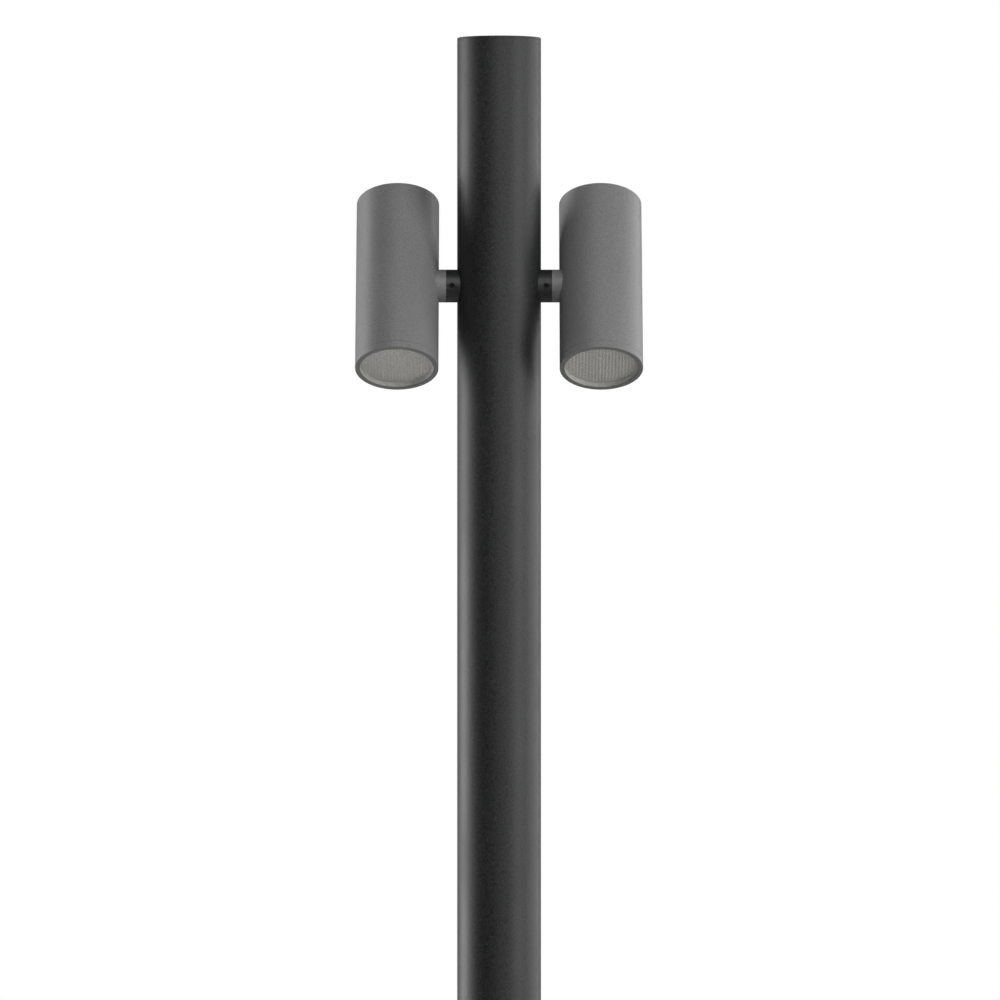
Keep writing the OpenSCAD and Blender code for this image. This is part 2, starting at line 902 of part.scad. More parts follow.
module rear_cap(side) {
    spigot_r = head_ri - 2 * fit;
    color(lamp_grey)
        in_lamp(side)
            difference() {
                union() {
                    rod_z(rear_seat + fit, rear_face, head_r - rear_rim - fit);
                    rod_z(rear_in, rear_seat + over, spigot_r);
                }
                rod_z(rear_in - over, rear_seat, cap_room);
                // Groove of the O-ring
                translate([0, 0, ring_groove_z])
                    rotate_extrude()
                        translate([head_ri - 2 * ring_sect - fit, -ring_sect - fit])
                            square([4 * ring_sect, 2 * (ring_sect + fit)]);
                for (a = [45:90:315])
                    rotate([0, 0, a])
                        translate([boss_at, 0, 0]) {
                            rod_z(rear_in - over, rear_z, screw_d / 2 + 0.2);
                            rod_z(rear_face - screw_head_t - 0.4, rear_z, screw_head_d / 2 + 0.3);
                        }
            }
}

module rear_cap_screws(side) {
    head_z = rear_face - 0.4 + fit;
    color(bare_metal)
        in_lamp(side)
            for (a = [45:90:315])
                rotate([0, 0, a])
                    translate([boss_at, 0, 0])
                        difference() {
                            union() {
                                rod_z(head_z - screw_head_t, head_z, screw_head_d / 2);
                                rod_z(head_z - screw_head_t - screw_len, head_z - over, screw_d / 2 - fit);
                            }
                            hex_z(head_z - 2, head_z + over, hex_af);
                        }
}

module rear_o_ring(side) {
    color(black_rubber)
        in_lamp(side)
            o_ring(head_ri - fit - ring_sect, ring_sect - fit, ring_groove_z);
}

module front_ring(side) {
    ring_edge = 0.5;
    color(lamp_grey)
        in_lamp(side)
            difference() {
                union() {
                    rotate_extrude()
                        edge_section(clear_r, head_r, front_z, front_z + ring_len, ring_edge, top = false);
                    difference() {
                        rod_z(front_z + over, front_z + ring_len + ring_spigot, head_ri - fit);
                        rod_z(front_z, front_z + ring_len + ring_spigot + over, clear_r);
                    }
                }
                rod_z(glass_z, front_z + ring_len + ring_spigot + over, seat_r);
            }
}

module glass(side) {
    color("#cfd6d6", 0.4)
        in_lamp(side)
            rod_z(glass_z + fit, gasket_z - fit, seat_r - fit);
}

module glass_gasket(side) {
    color("#9a9a98")
        in_lamp(side)
            difference() {
                rod_z(gasket_z, lens_z - fit, seat_r - fit);
                rod_z(gasket_z - over, lens_z + over, clear_r - lip_w);
            }
}

// Clear plate whose ribs run along the lamp's own Y axis
module spread_lens(side) {
    ribs = floor(2 * seat_r / rib_pitch);
    half = ribs * rib_pitch / 2;
    saw = [for (i = [0:2 * ribs]) [half - i * rib_pitch / 2, lens_t - fit - rib_h * (i % 2)]];
    color("#b5b2ab", 0.8)
        in_lamp(side)
            translate([0, 0, lens_z])
                intersection() {
                    rod_z(0, lens_t, seat_r - fit);
                    rotate([90, 0, 0])
                        translate([0, 0, -seat_r])
                            linear_extrude(2 * seat_r)
                                polygon(concat([[-seat_r, 0], [seat_r, 0], [seat_r, lens_t - fit]], saw,
                                    [[-seat_r, lens_t - fit]]));
                }
}

// Curve of the reflector: radius at a share t of its depth, counted from the light source
function bowl_r(t) = reflector_eye / 2 + (clear_r - reflector_t - reflector_eye / 2) * pow(t, 0.62);

module reflector(side) {
    steps = 12;
    inside = [for (i = [0:steps]) [bowl_r(i / steps), -reflector_h * i / steps]];
    outside = [for (i = [steps:-1:0]) [bowl_r(i / steps) + reflector_t, -reflector_h * i / steps]];
    color("#dcdcd8")
        in_lamp(side)
            translate([0, 0, holder_z - fit]) {
                rotate_extrude()
                    polygon(concat(inside, outside));
                // Rim that the spread lens rests on
                difference() {
                    rod_z(-reflector_h, -reflector_h + reflector_t, seat_r - fit);
                    rod_z(-reflector_h - over, over, clear_r - reflector_t);
                }
            }
}

module led_module(side) {
    color("#e3c65a")
        in_lamp(side) {
            translate([-led_w / 2, -led_w / 2, sink_z - board_t])
                cube([led_w, led_w, board_t - fit]);
            rod_z(sink_z - board_t - emitter_t, sink_z - board_t + fit, emitter_d / 2);
        }
}

module led_holder(side) {
    pocket = led_w + 4 * fit;
    color("#e6e6e2")
        in_lamp(side)
            difference() {
                rod_z(holder_z, sink_z - fit, holder_d / 2);
                rod_z(holder_z - over, sink_z, emitter_d / 2 + 1);
                translate([-pocket / 2, -pocket / 2, sink_z - board_t - fit])
                    cube([pocket, pocket, board_t + over]);
            }
}

module heat_sink(side) {
    sink_r = head_ri - fit;
    fins = floor((sink_r - fin_t) / fin_pitch);
    color("#a9abad")
        in_lamp(side)
            difference() {
                union() {
                    rod_z(sink_z, sink_z + sink_base, sink_r);
                    intersection() {
                        rod_z(sink_z, -pivot_zone, sink_r - 2);
                        for (i = [-fins:fins])
                            translate([i * fin_pitch - fin_t / 2, -sink_r, sink_z])
                                cube([fin_t, 2 * sink_r, -pivot_zone - sink_z]);
                    }
                }
                // Passage of the light source's lead
                translate([lead_x, 0, 0])
                    rod_z(sink_z - over, 0, lead_d / 2 + lead_play - fit);
            }
}

module driver(side) {
    color("#d9d9d6")
        in_lamp(side)
            translate([0, 0, driver_z])
                linear_extrude(driver_len)
                    round_rect(driver_w, driver_d, 3);
}

// Angle that hangs the driver from the rear cap
module driver_bracket(side) {
    leg_y = driver_d / 2 + fit;
    color(bare_metal)
        in_lamp(side) {
            translate([-leg_w / 2, leg_y, driver_z + 6])
                cube([leg_w, bracket_t, rear_seat - fit - driver_z - 6]);
            translate([-leg_w / 2, leg_y - foot_d, rear_seat - fit - bracket_t])
                cube([leg_w, foot_d + bracket_t, bracket_t]);
        }
}

// Supply from the tilt axis to the driver, and the lead from the driver to the light source
module head_cables(side) {
    color(black_rubber)
        in_lamp(side) {
            rod_x(cable_split + cable_gap - head_x, -cable_x - bend_r, cable_d / 2);
            translate([-cable_x - bend_r, 0, bend_r])
                quarter_bend(270);
            translate([-cable_x, 0, 0])
                rod_z(bend_r, driver_z - fit, cable_d / 2);
            translate([lead_x, 0, 0])
                rod_z(sink_z + fit, driver_z - fit, lead_d / 2);
        }
}

pole_tube();
base_plate();
base_weld();
pole_cap();
cap_o_ring();
door_frame();
fuse_box();
fuse_box_lid();
box_terminals();
fuses();
box_glands();
box_bracket();
box_screws();
earth_stud();
earth_nuts();
feed_cable("left");  // left_feed_cable
feed_cable("right");  // right_feed_cable
collar("left");  // left_collar
collar("right");  // right_collar
stop_pins();
joint_seals();
door_panel();
door_gasket();
door_screws();
lock_screw("left");  // left_lock_screw
lock_screw("right");  // right_lock_screw

housing("left");  // left_housing
rear_cap("left");  // left_rear_cap
rear_cap_screws("left");  // left_rear_cap_screws
rear_o_ring("left");  // left_rear_o_ring
front_ring("left");  // left_front_ring
glass("left");  // left_glass
glass_gasket("left");  // left_glass_gasket
spread_lens("left");  // left_spread_lens
reflector("left");  // left_reflector
led_module("left");  // left_led_module
led_holder("left");  // left_led_holder
heat_sink("left");  // left_heat_sink
driver("left");  // left_driver
driver_bracket("left");  // left_driver_bracket
swivel_shaft("left");  // left_swivel_shaft
shaft_nuts("left");  // left_shaft_nuts
head_cables("left");  // left_head_cables

housing("right");  // right_housing
rear_cap("right");  // right_rear_cap
rear_cap_screws("right");  // right_rear_cap_screws
rear_o_ring("right");  // right_rear_o_ring
front_ring("right");  // right_front_ring
glass("right");  // right_glass
glass_gasket("right");  // right_glass_gasket
spread_lens("right");  // right_spread_lens
reflector("right");  // right_reflector
led_module("right");  // right_led_module
led_holder("right");  // right_led_holder
heat_sink("right");  // right_heat_sink
driver("right");  // right_driver
driver_bracket("right");  // right_driver_bracket
swivel_shaft("right");  // right_swivel_shaft
shaft_nuts("right");  // right_shaft_nuts
head_cables("right");  // right_head_cables
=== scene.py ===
import json
import math

import bmesh
import bpy
from bpy.props import FloatProperty, FloatVectorProperty, IntProperty, PointerProperty
from mathutils import Matrix, Vector


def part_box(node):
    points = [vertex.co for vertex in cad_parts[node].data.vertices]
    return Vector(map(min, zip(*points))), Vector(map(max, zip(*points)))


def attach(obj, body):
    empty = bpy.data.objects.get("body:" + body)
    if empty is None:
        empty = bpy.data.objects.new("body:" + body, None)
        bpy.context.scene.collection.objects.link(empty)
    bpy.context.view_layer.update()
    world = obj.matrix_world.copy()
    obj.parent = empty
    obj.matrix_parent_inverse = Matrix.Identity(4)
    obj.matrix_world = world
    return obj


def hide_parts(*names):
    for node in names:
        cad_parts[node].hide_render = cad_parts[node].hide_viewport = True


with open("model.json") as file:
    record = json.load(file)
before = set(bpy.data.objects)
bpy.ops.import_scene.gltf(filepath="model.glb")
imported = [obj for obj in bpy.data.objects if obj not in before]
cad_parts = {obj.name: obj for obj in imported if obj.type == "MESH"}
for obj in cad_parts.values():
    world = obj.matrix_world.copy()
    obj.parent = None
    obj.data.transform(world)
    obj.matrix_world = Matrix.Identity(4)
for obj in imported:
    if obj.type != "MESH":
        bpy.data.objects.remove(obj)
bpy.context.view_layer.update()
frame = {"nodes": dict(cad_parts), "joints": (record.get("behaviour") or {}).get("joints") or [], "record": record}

bl_info = {
    "name": "Twin-Spot Column Luminaire",
    "version": (1, 0, 0),
    "blender": (4, 5, 0),
    "location": "3D View > Sidebar > Luminaire",
    "description": "Finished pieces and materials for a column with two tilting spotlights",
    "category": "Object",
}

SIDES = ("left", "right")
MM = 0.001
AXIS = 0.005 * MM        # radius of a turned piece's centre, closed by merging
MERGE = 0.02 * MM        # distance within which points are merged
FIT = 0.05 * MM          # clearance that the CAD keeps between seated pieces
GLASS_EDGE = 0.6 * MM    # wall of the gasket round the glass's edge
LIP = 0.8 * MM           # reach of the front ring over the glass's seat
CAP_SEAT = 4 * MM        # depth of the rear cap's seat in the housing's rim
CAP_HEAD = 3.5 * MM      # radius of the heads of the rear caps' screws
STOP_AT = 4.5 * MM       # place of the stop pin, from the collar's inner end
COAT_ROUGHNESS = 0.52    # mean roughness of every powder coat
LIGHT_REACH = 3          # metres between the column and each light, seen from above
SCREW_ANGLES = [math.radians(45 + 90 * i) for i in range(4)]


# ---------------------------------------------------------------- frame

def joint(name):
    """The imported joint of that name."""
    return next(j for j in frame["joints"] if j["name"] == name)


def lamp_matrix(side):
    """From a lamp's own frame, front at -Z, to the row frame at rest."""
    pivot = Vector(joint(side + "_tilt")["pos_m"])
    low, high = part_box(side + "_glass")
    out = (low + high) / 2 - pivot
    return Matrix.Translation(pivot) @ Matrix.Rotation(math.atan2(out.y, -out.z), 4, "X")


def lamp_extent(node):
    """Lowest and highest place along the lamp's axis, and the largest radius, of a CAD node."""
    back = lamp_matrix(node.split("_")[0]).inverted()
    places = [back @ v.co for v in frame["nodes"][node].data.vertices]
    return (min(p.z for p in places), max(p.z for p in places),
            max(math.hypot(p.x, p.y) for p in places))


def arm_height():
    """Height of the arms' common axis."""
    return joint("right_tilt")["pos_m"][2]


def arm_matrix():
    """From a piece turned about Z to the right arm, +Z pointing away from the column."""
    return Matrix.Translation((0, 0, arm_height())) @ Matrix.Rotation(math.radians(90), 4, "Y")


def column_radius():
    """Outside radius of the column tube."""
    low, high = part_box("pole_tube")
    return (high.x - low.x) / 2


# ---------------------------------------------------------------- modelling

def pick(piece):
    """Selects one piece alone, in object mode."""
    if bpy.context.object and bpy.context.object.mode != "OBJECT":
        bpy.ops.object.mode_set(mode="OBJECT")
    bpy.ops.object.select_all(action="DESELECT")
    if piece is not None:
        piece.select_set(True)
        bpy.context.view_layer.objects.active = piece


def open_edit(piece, kind):
    """Opens a piece in edit mode, to select its vertices, edges or faces."""
    pick(piece)
    bpy.ops.object.mode_set(mode="EDIT")
    bpy.ops.mesh.select_mode(type=kind)
    bpy.ops.mesh.select_all(action="DESELECT")


def choose(piece, kind, test):
    """Selects the elements that pass a test, in a piece that is open in edit mode."""
    bpy.ops.mesh.select_all(action="DESELECT")
    mesh = bmesh.from_edit_mesh(piece.data)
    for element in {"VERT": mesh.verts, "EDGE": mesh.edges, "FACE": mesh.faces}[kind]:
        if test(element):
            element.select_set(True)
    bmesh.update_edit_mesh(piece.data)


def close_edit():
    """Back to object mode."""
    bpy.ops.object.mode_set(mode="OBJECT")


def apply_modifiers(piece):
    """Applies all of a piece's modifiers."""
    pick(piece)
    for modifier in list(piece.modifiers):
        bpy.ops.object.modifier_apply(modifier=modifier.name)


def turned(name, outline, sides=128, ring=False):
    """Turns an outline of (radius, height) points about Z; a ring's outline closes on itself."""
    pick(None)
    radius, height = outline[0]
    bpy.ops.mesh.primitive_circle_add(vertices=sides, radius=radius, location=(0, 0, height))
    piece = bpy.context.object
    piece.name = name
    bpy.ops.object.mode_set(mode="EDIT")
    bpy.ops.mesh.select_all(action="SELECT")
    for next_radius, next_height in outline[1:] + (outline[:1] if ring else []):
        step = (0, 0, next_height - height)
        bpy.ops.mesh.extrude_edges_move(TRANSFORM_OT_translate={"value": step})
        share = next_radius / radius
        bpy.ops.transform.resize(value=(share, share, 1), center_override=(0, 0, 0))
        radius, height = next_radius, next_height
    bpy.ops.mesh.select_all(action="SELECT")
    bpy.ops.mesh.remove_doubles(threshold=MERGE)
    bpy.ops.mesh.normals_make_consistent(inside=False)
    close_edit()
    return seated(piece)


def arc(centre, radius, start, end, steps):
    """Points of an arc in an outline, angles in degrees from the outward direction."""
    angles = [math.radians(start + (end - start) * i / steps) for i in range(steps + 1)]
    return [(centre[0] + radius * math.cos(a), centre[1] + radius * math.sin(a)) for a in angles]


def block(name, low, high):
    """A box between two corners, to be shaped further."""
    pick(None)
    centre = [(a + b) / 2 for a, b in zip(low, high)]
    bpy.ops.mesh.primitive_cube_add(size=1, location=centre)
    piece = bpy.context.object
    piece.name = name
    piece.scale = [b - a for a, b in zip(low, high)]
    return seated(piece)


def rounded_block(name, low, high, radius, along="z", segments=8):
    """A box whose four edges along one axis are rounded."""
    piece = block(name, low, high)
    axis = "xyz".index(along)
    open_edit(piece, "EDGE")
    choose(piece, "EDGE", lambda e: abs((e.verts[0].co - e.verts[1].co).normalized()[axis]) > 0.9)
    bpy.ops.mesh.bevel(offset=radius, segments=segments)
    close_edit()
    return piece


def seated(piece):
    """Puts a piece's place, turn and scale into its mesh."""
    pick(piece)
    bpy.ops.object.transform_apply(location=True, rotation=True, scale=True)
    return piece


def placed(piece, matrix):
    """Moves a piece by a matrix and puts the move into its mesh."""
    piece.matrix_world = matrix @ piece.matrix_world
    return seated(piece)


def mirrored(piece):
    """Mirrors a right-hand piece to the left and turns its faces outwards again."""
    placed(piece, Matrix.Scale(-1, 4, (1, 0, 0)))
    bpy.ops.object.mode_set(mode="EDIT")
    bpy.ops.mesh.select_all(action="SELECT")
    bpy.ops.mesh.normals_make_consistent(inside=False)
    close_edit()
    return piece


def pair(piece, name):
    """Names a right-hand piece and makes its left-hand twin; gives both by side."""
    piece.name = "right_" + name
    return {"left": mirrored(copied(piece, "left_" + name)), "right": piece}


def combined(piece, tool, operation):
    """Cuts, joins or intersects a piece with a tool piece, which is used up."""
    modifier = piece.modifiers.new(operation.lower(), "BOOLEAN")
    modifier.operation = operation
    modifier.solver = "EXACT"
    modifier.object = tool
    apply_modifiers(piece)
    bpy.data.objects.remove(tool)
    return piece


def cut(piece, *tools):
    """Cuts tools out of a piece."""
    for tool in tools:
        combined(piece, tool, "DIFFERENCE")
    return piece


def grown(piece, *parts):
    """Joins further parts to a piece, as one solid."""
    for part in parts:
        combined(piece, part, "UNION")
    return piece


def softened(piece, width, segments=2, angle=30):
    """Rounds every edge sharper than an angle, as coating or tumbling does."""
    modifier = piece.modifiers.new("soft edges", "BEVEL")
    modifier.width = width
    modifier.segments = segments
    modifier.limit_method = "ANGLE"
    modifier.angle_limit = math.radians(angle)
    modifier.use_clamp_overlap = True
    apply_modifiers(piece)
    return piece


def joined(name, pieces):
    """Makes one object of several."""
    pick(pieces[0])
    for piece in pieces:
        piece.select_set(True)
    bpy.ops.object.join()
    whole = bpy.context.object
    whole.name = name
    return whole


def copied(piece, name, matrix=Matrix.Identity(4)):
    """A copy with a mesh of its own, moved by a matrix."""
    twin = piece.copy()
    twin.data = piece.data.copy()
    twin.name = name
    bpy.context.scene.collection.objects.link(twin)
    return placed(twin, matrix)


def rod(name, radius, low, high, axis="z", sides=64):
    """A plain cylinder along an axis, used as a cutting tool or as a core to shape."""
    pick(None)
    turn = {"x": (0, math.pi / 2, 0), "y": (-math.pi / 2, 0, 0), "z": (0, 0, 0)}[axis]
    bpy.ops.mesh.primitive_cylinder_add(vertices=sides, radius=radius, depth=high - low,
                                        rotation=turn)
    piece = bpy.context.object
    piece.name = name
    piece.location["xyz".index(axis)] = (low + high) / 2
    return seated(piece)


def hex_tool(name, across, low, high):
    """A hexagonal tool along Z that cuts a key socket."""
    return rod(name, across / 2 / math.cos(math.pi / 6), low, high, sides=6)


def fitted(piece, body, slot, *nodes, material=None, angle=35):
    """Finishes a piece: smooth shading, the slot's material unless another is given, and the
    body and nodes that it stands for."""
    pick(piece)
    bpy.ops.object.shade_smooth_by_angle(angle=math.radians(angle))
    flats = piece.modifiers.new("level flats", "WEIGHTED_NORMAL")
    flats.keep_sharp = True
    apply_modifiers(piece)
    piece.data.materials.clear()
    piece.data.materials.append(material or finish_of(slot))
    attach(piece, body)
    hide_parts(*nodes)
    return piece


# ---------------------------------------------------------------- materials

class Shader:
    """A material under construction, with its nodes laid out from left to right."""

    def __init__(self, name, colour, roughness, metallic=0.0):
        self.material = bpy.data.materials.new(name)
        self.material.use_nodes = True
        self.nodes = self.material.node_tree.nodes
        self.links = self.material.node_tree.links
        self.surface = self.nodes["Principled BSDF"]
        self.surface.inputs["Base Color"].default_value = (*colour, 1)
        self.surface.inputs["Roughness"].default_value = roughness
        self.surface.inputs["Metallic"].default_value = metallic
        self.place = self.nodes.new("ShaderNodeTexCoord").outputs["Object"]

    def set(self, **values):
        """Sets sockets of the surface shader, named with underscores for spaces."""
        for name, value in values.items():
            self.surface.inputs[name.replace("_", " ")].default_value = value

    def mapped(self, scale=(1, 1, 1), turn=(0, 0, 0), shift=(0, 0, 0), vector=None):
        """Object coordinates, or other ones, scaled, turned and shifted."""
        mapping = self.nodes.new("ShaderNodeMapping")
        mapping.inputs["Location"].default_value = shift
        mapping.inputs["Scale"].default_value = scale
        mapping.inputs["Rotation"].default_value = turn
        self.links.new(vector or self.place, mapping.inputs["Vector"])
        return mapping.outputs["Vector"]

    def noise(self, scale, detail=2.0, roughness=0.5, vector=None):
        """A noise between 0 and 1."""
        node = self.nodes.new("ShaderNodeTexNoise")
        node.inputs["Scale"].default_value = scale
        node.inputs["Detail"].default_value = detail
        node.inputs["Roughness"].default_value = roughness
        self.links.new(vector or self.place, node.inputs["Vector"])
        return node.outputs["Fac"]

    def bands(self, scale, distortion, vector):
        """Soft wavy bands between 0 and 1, across X."""
        node = self.nodes.new("ShaderNodeTexWave")
        node.bands_direction = "X"
        node.inputs["Scale"].default_value = scale
        node.inputs["Distortion"].default_value = distortion
        node.inputs["Detail"].default_value = 2.0
        self.links.new(vector, node.inputs["Vector"])
        return node.outputs["Fac"]

    def ramp(self, factor, low, high, low_value, high_value):
        """Maps a factor between two limits to two values."""
        node = self.nodes.new("ShaderNodeMapRange")
        for name, value in (("From Min", low), ("From Max", high),
                            ("To Min", low_value), ("To Max", high_value)):
            node.inputs[name].default_value = value
        self.links.new(factor, node.inputs["Value"])
        return node.outputs["Result"]

    def spread(self, noise, low_value, high_value):
        """Maps the usual reach of a noise to two values."""
        return self.ramp(noise, 0.3, 0.7, low_value, high_value)

    def product(self, first, second):
        """Two factors multiplied."""
        node = self.nodes.new("ShaderNodeMath")
        node.operation = "MULTIPLY"
        self.links.new(first, node.inputs[0])
        self.links.new(second, node.inputs[1])
        return node.outputs[0]

    def shaded(self, factor):
        """Multiplies the base colour, or its pattern so far, by a factor that varies."""
        node = self.nodes.new("ShaderNodeVectorMath")
        node.operation = "SCALE"
        colour = self.surface.inputs["Base Color"]
        if colour.is_linked:
            self.links.new(colour.links[0].from_socket, node.inputs[0])
        else:
            node.inputs[0].default_value = colour.default_value[:3]
        self.links.new(factor, node.inputs["Scale"])
        self.links.new(node.outputs["Vector"], colour)

    def rough(self, noise, low, high):
        """Roughness between two values, by a noise."""
        self.links.new(self.spread(noise, low, high), self.surface.inputs["Roughness"])

    def bump(self, factor, height):
        """Raises the surface by up to a height in metres, on top of earlier bumps."""
        node = self.nodes.new("ShaderNodeBump")
        node.inputs["Distance"].default_value = height
        self.links.new(factor, node.inputs["Height"])
        before = self.surface.inputs["Normal"]
        if before.is_linked:
            self.links.new(before.links[0].from_socket, node.inputs["Normal"])
        self.links.new(node.outputs["Normal"], before)


def powder_coat(name, colour, mottle, finish):
    """Powder coat: a fine orange-peel grain, faint mottling and slightly uneven gloss."""
    coat = Shader(name, colour, COAT_ROUGHNESS)
    grain = coat.noise(1 / finish.grain, 2.0, 0.7)
    cloud = coat.noise(9.0, 3.0, 0.5)
    coat.shaded(coat.product(coat.ramp(grain, 0.39, 0.61, 1 - mottle, 1 + mottle),
                             coat.spread(cloud, 0.97, 1.03)))
    uneven = coat.product(coat.spread(grain, 1 - finish.gloss, 1 + finish.gloss),
                          coat.spread(cloud, COAT_ROUGHNESS - 0.03, COAT_ROUGHNESS + 0.04))
    coat.links.new(uneven, coat.surface.inputs["Roughness"])
    coat.bump(grain, finish.peel)
    coat.bump(coat.noise(0.35 / finish.grain, 1.0), finish.peel)
    return coat


def column_paint(finish):
    """Anthracite coat of the column, with the strongest grain."""
    return powder_coat("column powder coat", finish.column_colour, 1.0, finish).material


def lamp_paint(finish):
    """Mid-grey coat of the lamps."""
    return powder_coat("lamp powder coat", finish.lamp_colour, finish.mottle, finish).material


def ring_paint_with_painted_shade(finish, side):
    """The lamps' coat on a front ring, with painted shade that makes the flat face round the glass a shade darker.
    """
    face = lamp_extent(side + "_front_ring")[0]
    coat = powder_coat(side + " ring powder coat with painted shade", finish.lamp_colour, finish.mottle, finish)
    from_lamp = lamp_matrix(side).inverted()
    lying = coat.mapped(turn=from_lamp.to_euler(), shift=from_lamp.translation)
    split = coat.nodes.new("ShaderNodeSeparateXYZ")
    coat.links.new(lying, split.inputs["Vector"])
    # painted shade: the colour is scaled down to the rim factor within half a millimetre of the ring's front face
    coat.shaded(coat.ramp(split.outputs["Z"], face + 0.1 * MM, face + 0.5 * MM, finish.rim, 1))
    return coat.material


def clear_glass():
    """Toughened front glass: nearly clear, with a trace of green and a few faint smears."""
    glass = Shader("toughened glass", (0.80, 0.86, 0.83), 0.04)
    glass.set(Alpha=0.1, IOR=1.52, Coat_Weight=0.5)
    smears = glass.noise(35.0, 3.0, 0.6, glass.mapped(scale=(1, 2.5, 1)))
    glass.rough(smears, 0.03, 0.12)
    return glass.material


def lens_plastic(finish, side):
    """Milky ribbed plate: irregular streaks along the ribs, under a fine speckle."""
    plate = Shader(side + " ribbed lens plastic", finish.lens_colour, 0.42)
    turn = -math.atan2(*(Vector((0, 0, -1)) @ lamp_matrix(side).to_3x3().transposed()).yz)
    lying = plate.mapped(turn=(turn, 0, 0))
    streak = plate.mapped(scale=(1, 0.45, 1), vector=lying)
    weave = plate.noise(420.0, 2.0, 0.6, streak)
    speckle = plate.noise(1500.0, 2.0, 0.7)
    bands = plate.bands(math.tau / 20 / finish.rib_pitch, 2.5, streak)
    grain = plate.product(plate.spread(weave, 0.76, 1.24), plate.spread(speckle, 0.8, 1.2))
    plate.shaded(plate.product(grain, plate.ramp(bands, 0.0, 1.0, 0.95, 1.05)))
    plate.bump(weave, 0.12 * MM)
    plate.bump(speckle, 0.04 * MM)
    return plate.material


def metal(name, colour, roughness, fineness=900.0):
    """Bare metal with fine tool marks and a slightly uneven sheen."""
    bare = Shader(name, colour, roughness, metallic=1.0)
    marks = bare.noise(fineness, 3.0, 0.6)
    cloud = bare.noise(60.0, 2.0)
    bare.shaded(bare.product(bare.spread(marks, 0.93, 1.05), bare.spread(cloud, 0.95, 1.03)))
    bare.rough(marks, roughness - 0.06, roughness + 0.08)
    bare.bump(marks, 0.02 * MM)
    return bare.material


def moulded(name, colour, roughness=0.48):
    """Moulded plastic with a fine spark-eroded grain."""
    plastic = Shader(name, colour, roughness)
    grain = plastic.noise(1700.0, 2.0, 0.6)
    cloud = plastic.noise(40.0, 2.0)
    plastic.shaded(plastic.product(plastic.spread(grain, 0.97, 1.03),
                                   plastic.spread(cloud, 0.98, 1.02)))
    plastic.rough(grain, roughness - 0.04, roughness + 0.06)
    plastic.bump(grain, 0.03 * MM)
    return plastic.material


def rubber(name, colour, roughness=0.62):
    """Rubber or silicone with a dull, slightly dusty skin."""
    soft = Shader(name, colour, roughness)
    dust = soft.noise(350.0, 4.0, 0.65)
    soft.shaded(soft.ramp(dust, 0.3, 0.75, 0.85, 1.35))
    soft.rough(dust, roughness - 0.05, roughness + 0.12)
    soft.bump(soft.noise(1400.0, 2.0), 0.03 * MM)
    return soft.material


def sheath(name, colour):
    """Extruded cable sheath with faint lines along its length."""
    skin = Shader(name, colour, 0.5)
    lines = skin.noise(900.0, 2.0, 0.6, skin.mapped(scale=(1, 1, 0.04)))
    skin.shaded(skin.spread(lines, 0.88, 1.15))
    skin.rough(lines, 0.42, 0.6)
    skin.bump(lines, 0.03 * MM)
    return skin.material


def phosphor():
    """Yellow phosphor gel, grained like fine sand."""
    gel = Shader("phosphor gel", (0.86, 0.62, 0.12), 0.35)
    grain = gel.noise(2500.0, 3.0, 0.7)
    gel.shaded(gel.spread(grain, 0.9, 1.08))
    gel.bump(grain, 0.03 * MM)
    return gel.material


made = {}


def finish_of(slot):
    """The material of one of the record's slots, made when it is first asked for."""
    finish = bpy.context.scene.luminaire_finish
    makers = {
        "column_coating": (column_paint, finish),
        "lamp_coating": (lamp_paint, finish),
        "front_glass": (clear_glass,),
        "gasket_silicone": (rubber, "clear grey silicone", (0.47, 0.45, 0.42), 0.3),
        "reflector_aluminium": (metal, "anodised reflector", (0.83, 0.83, 0.82), 0.22),
        "led_board": (phosphor,),
        "holder_plastic": (moulded, "white holder plastic", (0.78, 0.78, 0.76)),
        "sink_aluminium": (metal, "cast aluminium", (0.55, 0.56, 0.57), 0.5, 500.0),
        "driver_plastic": (moulded, "driver case plastic", (0.7, 0.7, 0.68)),
        "rubber": (rubber, "black rubber", (0.02, 0.02, 0.021)),
        "cable_sheath": (sheath, "black cable sheath", (0.02, 0.02, 0.022)),
        "screw_steel": (metal, "stainless steel", (0.62, 0.62, 0.61), 0.3),
        "lock_steel": (metal, "blackened steel", (0.02, 0.02, 0.021), 0.45),
        "earth_brass": (metal, "turned brass", (0.78, 0.58, 0.27), 0.3),
        "zinc_steel": (metal, "zinc-plated sheet", (0.66, 0.67, 0.68), 0.38, 300.0),
        "box_plastic": (moulded, "box plastic", (0.60, 0.59, 0.55)),
        "terminal_plastic": (moulded, "terminal plastic", (0.11, 0.14, 0.16)),
        "gland_plastic": (moulded, "gland plastic", (0.055, 0.06, 0.065)),
        "fuse_ceramic": (moulded, "fuse ceramic", (0.78, 0.75, 0.66), 0.25),
    }
    if slot not in made:
        maker, *values = makers[slot]
        made[slot] = maker(*values)
    return made[slot]


# ---------------------------------------------------------------- settings

